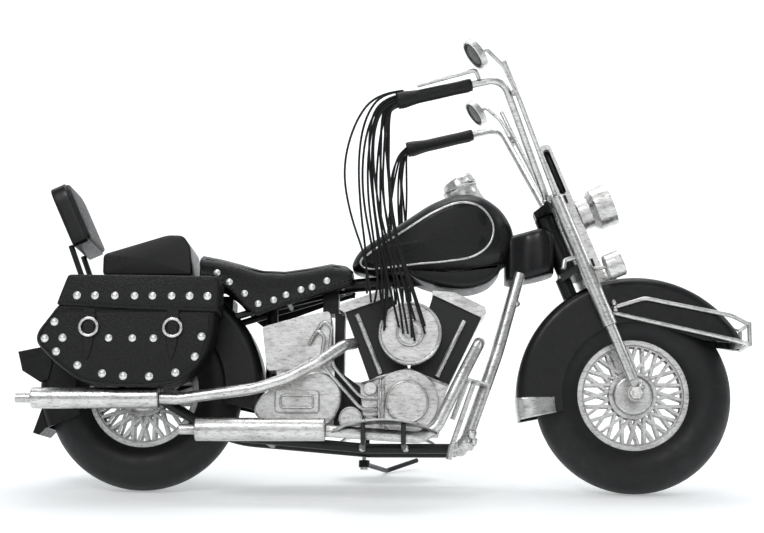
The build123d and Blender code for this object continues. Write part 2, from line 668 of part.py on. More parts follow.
def fender_guard():
    """Wire guard round the front of the mudguard."""
    side = rod([(116, -17.2, 94.6), (133, -17.2, 99.6), (177, -17.2, 90.5), (186, -13.5, 86.5)],
               2.2, [8, 12])
    side += rod([(116, -17.2, 92.2), (181, -17.2, 77.2), (186, -13.5, 76.2)], 2.2, [8])
    front = rod([(186, -14, 87.5), (186, -14, 75.2)], 2.2)
    half = side + front
    cross = across(186, 86.5, 1.1, -14.4, 14.4) + across(186, 76.2, 1.1, -14.4, 14.4)
    return half + mirrored(half) + cross


# ---------------------------------------------------------------- leather fringe
RIGHT_ROWS, LEFT_ROWS = (4, 3, 3, 3), (3, 3, 3)
# Each stage of a bundle: its middle, how far it opens across the bike, and how far each row behind
# the one before it is from it (back, up). Two more thongs stray outside the right bundle.
RIGHT_BUNDLE = [
    ((7.8, -49.4, 195.6), 1.5, (-0.3, 1.4)),
    ((1.6, -49.4, 194.7), 1.5, (-0.5, 1.5)),
    ((-4.2, -48.6, 188.0), 1.6, (-1.8, 1.0)),
    ((-6.0, -47.0, 172.0), 1.7, (-2.6, 0.0)),
    ((-5.6, -42.0, 148.0), 1.7, (-3.0, 0.0)),
    ((-1.4, -39.4, 122.0), 1.6, (-3.6, 0.0)),
    ((4.0, -38.6, 100.0), 1.6, (-5.2, 0.0)),
    ((6.0, -38.4, 81.0), 1.6, (-7.5, 2.5)),
]
LEFT_BUNDLE = [
    ((12.9, 54.5, 197.7), 1.5, (-0.3, 1.4)),
    ((8.6, 54.6, 196.7), 1.5, (-0.5, 1.5)),
    ((4.6, 55.6, 189.0), 1.6, (-1.8, 1.0)),
    ((3.6, 58.4, 170.0), 1.7, (-2.4, 0.0)),
    ((4.0, 62.6, 146.0), 1.7, (-2.8, 0.0)),
    ((6.0, 67.8, 122.0), 1.7, (-3.2, 0.0)),
    ((8.5, 73.0, 97.0), 1.8, (-4.2, 0.0)),
    ((9.5, 75.6, 84.0), 1.8, (-5.0, 2.0)),
]
STRAYS = [
    [(7.6, -50.4, 200.0), (-6.0, -50.6, 198.6), (-17.0, -50.6, 184.0), (-23.0, -50.0, 160.0),
     (-19.0, -48.4, 136.0), (-10.0, -46.6, 112.0), (-8.0, -45.6, 92.0)],
    [(7.6, -47.8, 200.4), (-3.0, -47.8, 200.0), (-12.2, -46.6, 187.0), (-15.4, -44.6, 166.0),
     (-14.0, -40.0, 140.0), (-10.6, -37.6, 116.0), (-10.4, -36.4, 98.0)],
]


def thong_routes(bundle, rows):
    """The route of each thong: the thongs keep their order while the bundle opens out."""
    routes = []
    for row, count in enumerate(rows):
        behind = row - (len(rows) - 1) / 2
        for place in range(count):
            aside = place - (count - 1) / 2
            routes.append([(x + behind * back, y + aside * gap, z + behind * up)
                           for (x, y, z), gap, (back, up) in bundle])
    return routes


def fringe():
    """Limp leather thongs that hang from the bar ends, each a separate cord."""
    routes = thong_routes(RIGHT_BUNDLE, RIGHT_ROWS) + STRAYS + thong_routes(LEFT_BUNDLE, LEFT_ROWS)
    return group([rod(route, THONG_D) for route in routes])


# ---------------------------------------------------------------- placing and writing
STEER_AXIS = Axis(AXIS_FOOT, AXIS_UP)

# Each of these pieces is cut back where the pieces after it pass through or into it.
LET_IN = {
    "frame_rails": ["kickstand_pin"],
    "downtubes": ["frame_rails"],
    "neck_cover": ["frame_backbone", "downtubes"],
    "fuel_tank": ["frame_backbone", "neck_cover"],
    "instrument_pod": ["fuel_tank"],
    "solo_seat": ["frame_backbone", "fuel_tank", "bag_lids"],
    "rear_fender": ["frame_backbone"],
    "pillion_seat": ["rear_fender"],
    "sissy_bar": ["rear_fender"],
    "tail_light": ["rear_fender"],
    "gear_cover": ["rear_fender"],
    "oil_tank": ["frame_backbone"],
    "oil_lines": ["oil_tank"],
    "footboards": ["frame_rails", "header_front"],
    "forward_controls": ["downtubes", "header_front"],
    "saddlebag_right": ["muffler_upper", "rear_axle"],
    "saddlebag_left": ["rear_axle"],
    "handlebar": ["fork_upper_tubes"],
    "fork_shroud": ["front_fender"],
    "fork_clamps": ["front_fender"],
}


def build():
    """All nodes in the upright bike frame, in two groups: what steers, and what doesn't."""
    wheel = {"tyre": tyre(), "rim": rim(), "hub": hub()}
    front_wheel = Pos(FRONT_AXLE_X, 0, AXLE_Z) * Rot(90, 0, 0)
    rear_wheel = Pos(REAR_AXLE_X, 0, AXLE_Z) * Rot(90, 0, 0)
    fork_upper, fork_lower = fork_legs()
    bars, bar_braces = handlebar()
    fixed = {
        "frame_backbone": frame_backbone(), "frame_rails": frame_rails(), "downtubes": downtubes(),
        "steering_head": steering_head(), "neck_cover": neck_cover(), "fuel_tank": fuel_tank(),
        "instrument_pod": instrument_pod(), "solo_seat": solo_seat(), "studs": studs(),
        "pillion_seat": pillion_seat(), "backrest_pad": backrest_pad(), "sissy_bar": sissy_bar(),
        "rear_fender": rear_fender(), "tail_light": tail_light(),
        "saddlebag_right": saddlebag(), "saddlebag_left": mirrored(saddlebag()),
        "bag_lids": both_sides(bag_lid()), "bag_straps": bag_straps(), "bag_rings": bag_rings(),
        "muffler_upper": muffler(-178, -114, 44.5, 5.3), "muffler_lower": muffler(-95.4, -30.6, 29.4, 5.8),
        "header_rear": header_rear(), "header_front": header_front(),
        "crankcase": crankcase(), "cylinder_rear": cylinder_rear(), "cylinder_front": cylinder_front(),
        "rocker_covers": rocker_covers(), "pushrod_tubes": pushrod_tubes(), "air_cleaner": air_cleaner(),
        "cam_cover": cam_cover(), "gear_cover": gear_cover(), "primary_cover": primary_cover(),
        "oil_tank": oil_tank(), "oil_lines": oil_lines(), "footboards": footboards(),
        "forward_controls": forward_controls(), "kickstand_pin": kickstand_pin(),
        "rear_axle": axle(REAR_AXLE_X, 23.5, -RAIL_Y - PLATE_T / 2 - NUT_T), "kickstand": kickstand(),
    }
    fixed.update({f"rear_{name}": rear_wheel * shape for name, shape in wheel.items()})
    turning = {
        "fork_upper_tubes": fork_upper, "fork_lower_tubes": fork_lower, "fork_clamps": fork_clamps(),
        "fork_shroud": fork_shroud(), "headlight": headlight(), "passing_lamps": passing_lamps(),
        "handlebar": bars, "bar_braces": bar_braces, "grips": grips(),
        "brake_lever": brake_lever(), "mirrors": mirrors(), "front_fender": front_fender(),
        "fender_guard": fender_guard(), "front_axle": axle(FRONT_AXLE_X, 27.5, -LEG_Y - EYE_T / 2 - NUT_T),
    }
    turning.update({f"front_{name}": front_wheel * shape for name, shape in wheel.items()})
    for nodes in (fixed, turning):
        for name, others in LET_IN.items():
            if name in nodes:
                nodes[name] = group([nodes[name] - [nodes[other] for other in others]])
    fixed["fringe"] = fringe()
    return fixed, turning


def place(fixed, turning):
    """Turn the front assembly to its rest angle, lean the bike onto its stand and centre it."""
    nodes = dict(fixed)
    for name, shape in turning.items():
        nodes[name] = shape.rotate(STEER_AXIS, -STEER_REST)
    nodes = {name: shape.rotate(Axis.X, -LEAN) for name, shape in nodes.items()}
    box = group([shape for name, shape in nodes.items() if name != "fringe"]).bounding_box()
    middle = box.center()
    shift = Pos(-middle.X, -middle.Y, -box.min.Z)
    return {name: shift * shape for name, shape in nodes.items()}


if __name__ == "__main__":
    os.makedirs("parts", exist_ok=True)
    for name, shape in place(*build()).items():
        export_step(shape, f"parts/{name}.step")
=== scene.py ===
# %% [markdown]
# # Soldered tin cruiser on its side stand
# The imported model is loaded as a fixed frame. Soft goods, the tank and the small trim are built here
# by formula; the sheet-metal and wire parts keep their shape and get hand-finished materials.
# Points are written in the bike's own frame: millimetres, upright, +X forward, +Y left, +Z up.

# %%
import json
from math import cos, pi, radians, sin

import bpy
import numpy as np
from mathutils import Matrix, Vector
from mathutils.bvhtree import BVHTree

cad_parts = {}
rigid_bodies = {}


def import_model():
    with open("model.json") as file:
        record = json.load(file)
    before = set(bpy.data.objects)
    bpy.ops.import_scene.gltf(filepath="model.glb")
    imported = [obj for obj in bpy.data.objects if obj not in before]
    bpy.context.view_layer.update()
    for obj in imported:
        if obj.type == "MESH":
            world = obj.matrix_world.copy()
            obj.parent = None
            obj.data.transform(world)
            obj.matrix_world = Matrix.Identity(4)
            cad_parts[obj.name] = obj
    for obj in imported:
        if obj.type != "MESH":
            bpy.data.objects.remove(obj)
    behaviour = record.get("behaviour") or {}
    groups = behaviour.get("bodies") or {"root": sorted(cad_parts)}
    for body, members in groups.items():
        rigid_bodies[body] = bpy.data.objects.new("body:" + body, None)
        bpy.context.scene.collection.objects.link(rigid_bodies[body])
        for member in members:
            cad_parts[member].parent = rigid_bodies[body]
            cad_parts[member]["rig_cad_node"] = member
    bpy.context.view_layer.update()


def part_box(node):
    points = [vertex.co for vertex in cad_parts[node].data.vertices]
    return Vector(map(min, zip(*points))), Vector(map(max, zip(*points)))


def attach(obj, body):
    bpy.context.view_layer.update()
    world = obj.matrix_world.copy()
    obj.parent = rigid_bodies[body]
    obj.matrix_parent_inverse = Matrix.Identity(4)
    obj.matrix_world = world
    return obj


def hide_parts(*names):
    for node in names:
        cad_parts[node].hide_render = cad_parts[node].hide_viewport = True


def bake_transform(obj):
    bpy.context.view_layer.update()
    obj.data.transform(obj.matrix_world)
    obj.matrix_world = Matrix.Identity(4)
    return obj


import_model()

MM = 0.001
LEAN, STEER_REST, RAKE = radians(12.0), radians(3.0), radians(21.8)
REAR_AXLE = (-126.5, 0.0, 50.5)
AXIS_FOOT = np.array([120.5, 0.0, 50.5])
AXIS_UP = np.array([-sin(RAKE), 0.0, cos(RAKE)])
AXIS_AHEAD = np.array([cos(RAKE), 0.0, sin(RAKE)])
BAG_OUT_Y, BAG_IN_Y = -42.0, -20.0
TANK_HALF = 21.5

# %% [markdown]
# ## From the bike's frame to the row frame
# The bike is leaned about X and moved; the rear axle, which is symmetric, says how far.

# %%
def leaned(points):
    """Rotate points about X by the lean: y' = y cos + z sin, z' = z cos - y sin. Millimetres."""
    p = np.asarray(points, float)
    return np.stack([p[..., 0], p[..., 1] * cos(LEAN) + p[..., 2] * sin(LEAN),
                     p[..., 2] * cos(LEAN) - p[..., 1] * sin(LEAN)], -1)


axle_box = np.array(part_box("rear_axle"), float)
SHIFT = axle_box.mean(axis=0) / MM - leaned(REAR_AXLE)


def row(points):
    """Bike frame, mm, to row frame, metres."""
    return (leaned(points) + SHIFT) * MM


def turned(points):
    """Turn points of the front assembly to its rest angle, to the right, about the steering axis."""
    v = np.asarray(points, float) - AXIS_FOOT
    ahead, up, across = v @ AXIS_AHEAD, v @ AXIS_UP, v[..., 1]
    c, s = cos(-STEER_REST), sin(-STEER_REST)
    ahead, across = ahead * c - across * s, ahead * s + across * c
    out = AXIS_FOOT + ahead[..., None] * AXIS_AHEAD + up[..., None] * AXIS_UP
    out[..., 1] += across
    return out


def fork_point(ahead, y, up):
    """A point in the fork's own frame: ahead of the steering axis, across, and up along it."""
    p = AXIS_FOOT + ahead * AXIS_AHEAD + up * AXIS_UP
    return (p[0], y, p[2])


# %% [markdown]
# ## Camera

# %%
EYE = np.array([10.33, -770.54, 138.21])
PITCH, YAW, ROLL = radians(1.6), radians(-1.0), radians(0.25)
forward = Vector((sin(YAW) * cos(PITCH), cos(YAW) * cos(PITCH), -sin(PITCH)))
level = Vector((cos(YAW), -sin(YAW), 0))
down = forward.cross(level)
right = level * cos(ROLL) - down * sin(ROLL)
up = -forward.cross(right)
camera = bpy.data.objects.new("camera", bpy.data.cameras.new("camera"))
camera.data.lens, camera.data.sensor_width = 70.7, 36.0
camera.data.clip_start = 0.01
camera.matrix_world = Matrix((right, up, -forward)).transposed().to_4x4()
camera.location = Vector((EYE + SHIFT) * MM)
bpy.context.collection.objects.link(camera)
bpy.context.scene.camera = camera

# %% [markdown]
# ## Materials
# Every material is procedural in Object coordinates, which are metres, so a scale of 1000 is about
# one feature per millimetre.

# %%
class Shader:
    """A small helper that builds one Principled material."""

    def __init__(self, name, colour, metallic=0.0, roughness=0.5, edge=0.0004):
        self.material = bpy.data.materials.new(name)
        self.material.use_nodes = True
        self.tree = self.material.node_tree
        self.bsdf = self.tree.nodes["Principled BSDF"]
        self.bsdf.inputs["Base Color"].default_value = (*colour, 1)
        self.bsdf.inputs["Metallic"].default_value = metallic
        self.bsdf.inputs["Roughness"].default_value = roughness
        self.bsdf.inputs["Specular IOR Level"].default_value = 0.5 if metallic else 0.38
        self.material.diffuse_color = (*colour, 1)
        self.coords = self.node("ShaderNodeTexCoord").outputs["Object"]
        self.normal = None
        if edge:
            bevel = self.node("ShaderNodeBevel", samples=4)
            bevel.inputs["Radius"].default_value = edge
            self.normal = bevel.outputs["Normal"]
            self.link(self.normal, self.bsdf.inputs["Normal"])

    def node(self, kind, **settings):
        made = self.tree.nodes.new(kind)
        for key, value in settings.items():
            setattr(made, key, value)
        return made

    def link(self, a, b):
        self.tree.links.new(a, b)

    def noise(self, scale, detail=4.0, rough=0.6, stretch=(1, 1, 1), distortion=0.0):
        """Fractal noise, with finer features along the axes that stretch makes larger."""
        place = self.node("ShaderNodeMapping")
        place.inputs["Scale"].default_value = stretch
        self.link(self.coords, place.inputs["Vector"])
        made = self.node("ShaderNodeTexNoise")
        made.inputs["Scale"].default_value = scale
        made.inputs["Detail"].default_value = detail
        made.inputs["Roughness"].default_value = rough
        made.inputs["Distortion"].default_value = distortion
        self.link(place.outputs["Vector"], made.inputs["Vector"])
        return made.outputs["Fac"]

    def cells(self, scale, feature="F1"):
        made = self.node("ShaderNodeTexVoronoi", feature=feature)
        made.inputs["Scale"].default_value = scale
        self.link(self.coords, made.inputs["Vector"])
        return made.outputs["Distance"]

    def ramp(self, value, stops):
        """Colour ramp through (place, colour) stops."""
        made = self.node("ShaderNodeValToRGB")
        elements = made.color_ramp.elements
        while len(elements) < len(stops):
            elements.new(0.5)
        for element, (place, colour) in zip(elements, stops):
            element.position, element.color = place, (*colour, 1)
        self.link(value, made.inputs["Fac"])
        return made.outputs["Color"]

    def spread(self, value, low, high):
        """Map a 0.3 to 0.7 value onto low to high."""
        made = self.node("ShaderNodeMapRange")
        for key, number in (("From Min", 0.3), ("From Max", 0.7), ("To Min", low), ("To Max", high)):
            made.inputs[key].default_value = number
        self.link(value, made.inputs["Value"])
        return made.outputs["Result"]

    def mix(self, factor, a, b, blend="MIX"):
        made = self.node("ShaderNodeMix", data_type="RGBA", blend_type=blend)
        for value, socket in ((factor, made.inputs[0]), (a, made.inputs[6]), (b, made.inputs[7])):
            if isinstance(value, (tuple, float, int)):
                socket.default_value = (*value, 1) if isinstance(value, tuple) else value
            else:
                self.link(value, socket)
        return made.outputs[2]

    def bump(self, height, strength, distance):
        made = self.node("ShaderNodeBump")
        made.inputs["Strength"].default_value = strength
        made.inputs["Distance"].default_value = distance
        self.link(height, made.inputs["Height"])
        if self.normal is not None:
            self.link(self.normal, made.inputs["Normal"])
        self.normal = made.outputs["Normal"]
        self.link(self.normal, self.bsdf.inputs["Normal"])

    def colour(self, output):
        self.link(output, self.bsdf.inputs["Base Color"])

    def roughness(self, output):
        self.link(output, self.bsdf.inputs["Roughness"])

    def along(self, direction):
        """How far the point is along a direction of the row frame."""
        made = self.node("ShaderNodeVectorMath", operation="DOT_PRODUCT")
        made.inputs[1].default_value = direction
        self.link(self.coords, made.inputs[0])
        return made.outputs["Value"]

    def facing(self, direction):
        """How squarely the surface faces either way along a direction."""
        geometry = self.node("ShaderNodeNewGeometry")
        dot = self.node("ShaderNodeVectorMath", operation="DOT_PRODUCT")
        dot.inputs[1].default_value = direction
        self.link(geometry.outputs["True Normal"], dot.inputs[0])
        size = self.node("ShaderNodeMath", operation="ABSOLUTE")
        self.link(dot.outputs["Value"], size.inputs[0])
        return size.outputs[0]


BLACK = (0.0045, 0.0045, 0.005)
SILVER = (0.72, 0.715, 0.70)


def silver_colour(s, dark=0.10):
    """Silver rubbed over black: mostly bright, with fine dark streaks where it was rubbed thin. Painted shade darkens
    it further in creases and where parts meet.
    """
    grain = s.ramp(s.noise(900, 6, 0.72, (0.3, 1, 1)), [
        (0.27, (dark, dark, dark * 0.97)), (0.38, (0.50, 0.495, 0.48)), (0.47, SILVER), (0.72, (0.88, 0.88, 0.87))])
    patches = s.ramp(s.noise(80, 3, 0.5), [(0.32, (0.62, 0.62, 0.61)), (0.52, (1, 1, 1))])
    worn = s.mix(0.6, grain, patches, "MULTIPLY")
    # Painted shade: an ambient-occlusion mask darkens the silver colour in creases, corners and where parts meet, as
    # shade would.
    creases = s.node("ShaderNodeAmbientOcclusion", samples=4)
    creases.inputs["Distance"].default_value = 0.0025
    painted_crease_shade = s.ramp(creases.outputs["AO"], [(0.35, (0.10, 0.10, 0.095)), (0.82, (1, 1, 1))])
    return s.mix(0.95, worn, painted_crease_shade, "MULTIPLY")


def silver(name="silver_paint", dark=0.12):
    s = Shader(name, SILVER, metallic=0.95, roughness=0.30)
    s.colour(silver_colour(s, dark))
    s.roughness(s.spread(s.noise(420, 5, 0.65), 0.22, 0.42))
    s.bump(s.noise(800, 5, 0.7, (0.6, 1, 1)), 0.30, 0.00022)
    s.bump(s.noise(130, 2, 0.5), 0.35, 0.0007)
    return s.material


def black_paint(name="black_paint", low=0.26, high=0.44):
    s = Shader(name, BLACK, roughness=0.34)
    s.colour(s.ramp(s.noise(240, 5, 0.6), [(0.35, (0.003, 0.003, 0.0035)), (0.62, BLACK), (0.8, (0.011, 0.011, 0.0115))]))
    s.roughness(s.spread(s.noise(330, 5, 0.6), low, high))
    s.bump(s.noise(90, 2, 0.5), 0.16, 0.0005)
    s.bump(s.noise(1300, 3, 0.6), 0.10, 0.0001)
    return s.material


def tyre_black():
    s = Shader("tyre_black", (0.008, 0.008, 0.0085), roughness=0.5)
    s.colour(s.ramp(s.noise(120, 6, 0.65), [(0.3, (0.005, 0.005, 0.0055)), (0.6, (0.0095, 0.0095, 0.01)),
                                            (0.85, (0.025, 0.025, 0.025))]))
    s.roughness(s.spread(s.noise(260, 6, 0.65), 0.40, 0.58))
    s.bump(s.noise(60, 2, 0.5), 0.25, 0.0008)
    s.bump(s.noise(1800, 3, 0.6), 0.15, 0.00012)
    return s.material


def leather(name="leather", grain=950, depth=0.00026):
    """Pebbled leather: rounded cells in a mesh of fine creases, shinier on the pebbles' tops."""
    s = Shader(name, (0.0085, 0.0084, 0.0084), roughness=0.36, edge=0.0003)
    pebbles = s.cells(grain)
    s.colour(s.ramp(pebbles, [(0.0, (0.0075, 0.0073, 0.0073)), (0.65, (0.002, 0.002, 0.002))]))
    s.roughness(s.ramp(pebbles, [(0.0, (0.27,) * 3), (0.6, (0.55,) * 3)]))
    s.bump(s.noise(110, 3, 0.5), 0.25, 0.0008)
    invert = s.node("ShaderNodeMath", operation="SUBTRACT")
    invert.inputs[0].default_value = 1.0
    s.link(pebbles, invert.inputs[1])
    s.bump(invert.outputs[0], 0.6, depth)
    return s.material


def stipple():
    """Sand-textured black inside the bead on the tank's sides."""
    s = Shader("stippled_black", (0.007, 0.007, 0.0075), roughness=0.6, edge=0.0)
    s.roughness(s.spread(s.noise(1600, 4, 0.7), 0.45, 0.75))
    s.bump(s.noise(1500, 5, 0.75), 0.7, 0.0003)
    return s.material


def rivet_steel():
    s = Shader("rivet_steel", (0.86, 0.86, 0.85), metallic=0.75, roughness=0.36, edge=0.0)
    s.colour(s.ramp(s.noise(800, 3, 0.6), [(0.3, (0.62, 0.62, 0.61)), (0.5, (0.92, 0.92, 0.91))]))
    s.bump(s.noise(1200, 3, 0.6), 0.25, 0.00012)
    return s.material


def bright_steel():
    s = Shader("bright_steel", (0.78, 0.77, 0.75), metallic=1.0, roughness=0.24)
    s.roughness(s.spread(s.noise(900, 4, 0.6), 0.16, 0.38))
    s.colour(s.ramp(s.noise(700, 3, 0.6), [(0.3, (0.55, 0.54, 0.52)), (0.55, (0.86, 0.85, 0.83))]))
    s.bump(s.noise(1100, 3, 0.6), 0.15, 0.0001)
    return s.material


BIKE_UP = tuple(leaned([0, 0, 1]))
BIKE_ACROSS = tuple(leaned([0, 1, 0]))


def two_tone(name, value, split, width=0.0002):
    """Black below the split value and rubbed silver above it."""
    s = Shader(name, SILVER, metallic=0.6, roughness=0.35)
    side = s.node("ShaderNodeMapRange")
    side.inputs["From Min"].default_value = split - width
    side.inputs["From Max"].default_value = split + width
    s.link(value(s), side.inputs["Value"])
    mask = side.outputs["Result"]
    s.colour(s.mix(mask, BLACK, silver_colour(s)))
    s.link(mask, s.bsdf.inputs["Metallic"])
    s.bump(s.noise(500, 5, 0.7), 0.3, 0.00025)
    return s.material


SILVER_MAT, BLACK_MAT, TYRE_MAT = silver(), black_paint(), tyre_black()
LEATHER_MAT, STEEL_MAT, STIPPLE_MAT = leather(), bright_steel(), stipple()
RIVET_MAT = rivet_steel()
THONG_MAT = leather("thong_leather", 2600, 0.00008)
DARK_SILVER_MAT = silver("worn_silver", 0.03)
ARCH_DROP = 7.8


def height_over_arch(s):
    """Height plus ARCH_DROP times the square of the distance from the board's middle, in metres."""
    from_middle = s.node("ShaderNodeMath", operation="SUBTRACT")
    s.link(s.along((1, 0, 0)), from_middle.inputs[0])
    from_middle.inputs[1].default_value = float(row((-1, 0, 0))[0])
    square = s.node("ShaderNodeMath", operation="POWER")
    s.link(from_middle.outputs[0], square.inputs[0])
    square.inputs[1].default_value = 2.0
    total = s.node("ShaderNodeMath", operation="MULTIPLY_ADD")
    s.link(square.outputs[0], total.inputs[0])
    total.inputs[1].default_value = ARCH_DROP
    s.link(s.along(BIKE_UP), total.inputs[2])
    return total.outputs[0]


board_split = float(np.dot(row((0, 0, 33.1)), BIKE_UP))
BOARD_MAT = two_tone("footboard_paint", height_over_arch, board_split)
CYLINDER_SPLIT = 0.5


def cylinder_paint():
    """Black on the broad faces, rubbed silver on the narrow ones."""
    s = Shader("cylinder_paint", BLACK, metallic=0.5, roughness=0.38)
    broad = s.node("ShaderNodeMath", operation="LESS_THAN")
    broad.inputs[1].default_value = CYLINDER_SPLIT
    s.link(s.facing(BIKE_ACROSS), broad.inputs[0])
    s.colour(s.mix(broad.outputs[0], BLACK, silver_colour(s, 0.05)))
    s.link(broad.outputs[0], s.bsdf.inputs["Metallic"])
    s.bump(s.noise(500, 5, 0.7), 0.3, 0.00025)
    return s.material


CYLINDER_MAT = cylinder_paint()

FINISH = {
    "silver": (SILVER_MAT, [
        "downtubes", "muffler_upper", "muffler_lower", "header_rear", "header_front",
        "crankcase", "rocker_covers", "pushrod_tubes", "air_cleaner", "cam_cover", "gear_cover",
        "primary_cover", "oil_tank", "oil_lines", "forward_controls", "front_rim", "rear_rim",
        "fork_upper_tubes", "fork_lower_tubes", "fork_shroud", "headlight", "passing_lamps",
        "handlebar", "bar_braces", "brake_lever", "mirrors", "fender_guard"]),
    "black": (BLACK_MAT, [
        "frame_backbone", "frame_rails", "steering_head", "neck_cover", "fork_clamps", "rear_fender",
        "front_fender", "tail_light", "sissy_bar", "kickstand"]),
    "worn": (DARK_SILVER_MAT, ["front_hub", "rear_hub"]),
    "tyre": (TYRE_MAT, ["front_tyre", "rear_tyre"]),
    "steel": (STEEL_MAT, ["bag_rings", "kickstand_pin", "rear_axle", "front_axle"]),
    "board": (BOARD_MAT, ["footboards"]),
    "cylinder": (CYLINDER_MAT, ["cylinder_rear", "cylinder_front"]),
    "leather": (LEATHER_MAT, ["pillion_seat"]),
}


def cad_object(node):
    return next(o for o in bpy.data.objects if o.get("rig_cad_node") == node or o.name == node)


for material, nodes in FINISH.values():
    for node in nodes:
        slots = cad_object(node).material_slots
        for slot in slots:
            slot.material = material
        if not slots:
            print("no slot on", node)

# %% [markdown]
# ## Building meshes

# %%
def piece(name, points, faces, material, body, slot, smooth=True, front=False):
    """A mesh from bike-frame points, riding on a body."""
    points = np.asarray(points, float).reshape(-1, 3)
    data = bpy.data.meshes.new(name)
    data.from_pydata(row(turned(points) if front else points).tolist(), [], faces)
    data.update()
    data.materials.append(material)
    for polygon in data.polygons:
        polygon.use_smooth = smooth
    obj = bpy.data.objects.new(name, data)
    bpy.context.collection.objects.link(obj)
    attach(obj, body)
    return obj


def skin(rings, close_ends=True, wrap=False):
    """Faces over rings of equal length; the ends are closed with one polygon each."""
    count, size = len(rings), len(rings[0])
    faces = []
    for i in range(count if wrap else count - 1):
        a, b = i * size, (i + 1) % count * size
        faces += [(a + j, a + (j + 1) % size, b + (j + 1) % size, b + j) for j in range(size)]
    if close_ends and not wrap:
        faces += [tuple(range(size - 1, -1, -1)), tuple(range((count - 1) * size, count * size))]
    return faces


def joined(parts):
    """Several (points, faces) shapes as one."""
    points, faces, start = [], [], 0
    for some_points, some_faces in parts:
        some_points = np.asarray(some_points, float).reshape(-1, 3)
        points.append(some_points)
        faces += [tuple(start + i for i in face) for face in some_faces]
        start += len(some_points)
    return np.concatenate(points), faces


def mirror_y(shape):
    """The same shape on the bike's other side, its faces still outward."""
    points, faces = shape
    return np.asarray(points, float).reshape(-1, 3) * (1, -1, 1), [tuple(reversed(face)) for face in faces]


def curve_through(points, per_run=8, closed=False):
    """Catmull-Rom curve: each run is a cubic whose end slopes are half the step between its neighbours."""
    p = np.asarray(points, float)
    if closed:
        before, after, last = np.roll(p, 1, 0), np.roll(p, -1, 0), np.roll(p, -2, 0)
        runs = range(len(p))
    else:
        before = np.concatenate([2 * p[:1] - p[1:2], p[:-1]])
        after = np.concatenate([p[1:], 2 * p[-1:] - p[-2:-1]])
        last = np.concatenate([after[1:], after[-1:]])
        runs = range(len(p) - 1)
    t = np.linspace(0, 1, per_run, endpoint=False)[:, None]
    out = []
    for i in runs:
        a, b, c, d = before[i], p[i], after[i], last[i]
        out.append(b + 0.5 * t * (c - a) + t ** 2 * (a - 2.5 * b + 2 * c - 0.5 * d) + t ** 3 * (
            1.5 * b - 1.5 * c + 0.5 * d - 0.5 * a))
    out = np.concatenate(out)
    return out if closed else np.concatenate([out, p[-1:]])


def tube(points, radius, sides=12, closed=False, flat=1.0):
    """A round or flattened tube: a ring at each point, carried along without twisting."""
    p = np.asarray(points, float)
    radius = np.broadcast_to(radius, len(p))
    ahead = np.roll(p, -1, 0) - np.roll(p, 1, 0) if closed else np.gradient(p, axis=0)
    ahead /= np.linalg.norm(ahead, axis=1)[:, None]
    side = np.cross(ahead[0], (0.1, 1, 0.2) if abs(ahead[0][1]) < 0.8 else (1, 0, 0.2))
    turn = np.linspace(0, 2 * pi, sides, endpoint=False)
    rings = []
    for point, direction, r in zip(p, ahead, radius):
        side = side - direction * (side @ direction)
        side /= np.linalg.norm(side)
        other = np.cross(direction, side)
        rings.append(point + r * (np.cos(turn)[:, None] * side + flat * np.sin(turn)[:, None] * other))
    return np.concatenate(rings), skin(rings, wrap=closed)


def eased(outline, reach, steps=5):
    """Each corner becomes a quadratic curve from the point a reach before it to the one a reach after.

    The curve is (1-t)^2 A + 2t(1-t) C + t^2 B, and the reach is at most 0.45 of the edge.
    """
    p = np.asarray(outline, float)
    out = []
    for before, corner, after in zip(np.roll(p, 1, 0), p, np.roll(p, -1, 0)):
        back, ahead = before - corner, after - corner
        a = corner + back * min(0.45, reach / np.linalg.norm(back))
        b = corner + ahead * min(0.45, reach / np.linalg.norm(ahead))
        for t in np.linspace(0, 1, steps):
            out.append((1 - t) ** 2 * a + 2 * t * (1 - t) * corner + t ** 2 * b)
    return np.array(out)


def resampled(outline, count):
    """The same closed outline with evenly spaced points."""
    p = np.concatenate([outline, outline[:1]])
    run = np.concatenate([[0], np.cumsum(np.linalg.norm(np.diff(p, axis=0), axis=1))])
    at = np.linspace(0, run[-1], count, endpoint=False)
    return np.stack([np.interp(at, run, p[:, k]) for k in range(p.shape[1])], 1)


def soft_block(outline, near, far, edge, crown=0.0, sag=0.0, corner=2.0, count=160):
    """A block with a rounded outline, rounded edges, crowned faces and sides that sag inward.

    The outline is (a, b); near and far are its two depths. Each face rises by crown times one minus
    the square of the distance from the middle, and each edge is a quarter circle.
    """
    rim = resampled(eased(outline, corner), count)
    step = np.roll(rim, -1, 0) - np.roll(rim, 1, 0)
    out = np.stack([step[:, 1], -step[:, 0]], 1)
    out /= np.linalg.norm(out, axis=1)[:, None]
    middle = rim.mean(axis=0)
    if np.sum((rim - middle) * out) < 0:
        out = -out
    inset = rim - out * edge
    sign = 1 if far > near else -1

    def face(depth, toward):
        for t in (0.02, 0.25, 0.45, 0.62, 0.76, 0.87, 0.95, 1.0):
            yield middle + (inset - middle) * t, depth + toward * crown * (1 - t ** 2)

    def quarter(depth, inward):
        for angle in (18, 36, 54, 72, 90):
            a = radians(angle)
            yield rim - out * edge * (1 - sin(a)), depth + inward * edge * (1 - cos(a))

    stations = list(face(near, -sign)) + list(quarter(near, sign))
    for share in (0.25, 0.5, 0.75):
        depth = near + sign * edge + (far - near - 2 * sign * edge) * share
        stations.append((rim - out * sag * sin(pi * share), depth))
    stations += [(r, d) for r, d in reversed(list(quarter(far, -sign)))]
    stations += [(r, d) for r, d in reversed(list(face(far, sign)))]
    rings = [np.concatenate([r, np.full((len(r), 1), d)], 1) for r, d in stations]
    return np.concatenate(rings), skin(rings)


def across_bike(shape):
    """A soft block's (a, b, depth) as bike (x, y, z)."""
    points, faces = shape
    return points[:, [0, 2, 1]], faces


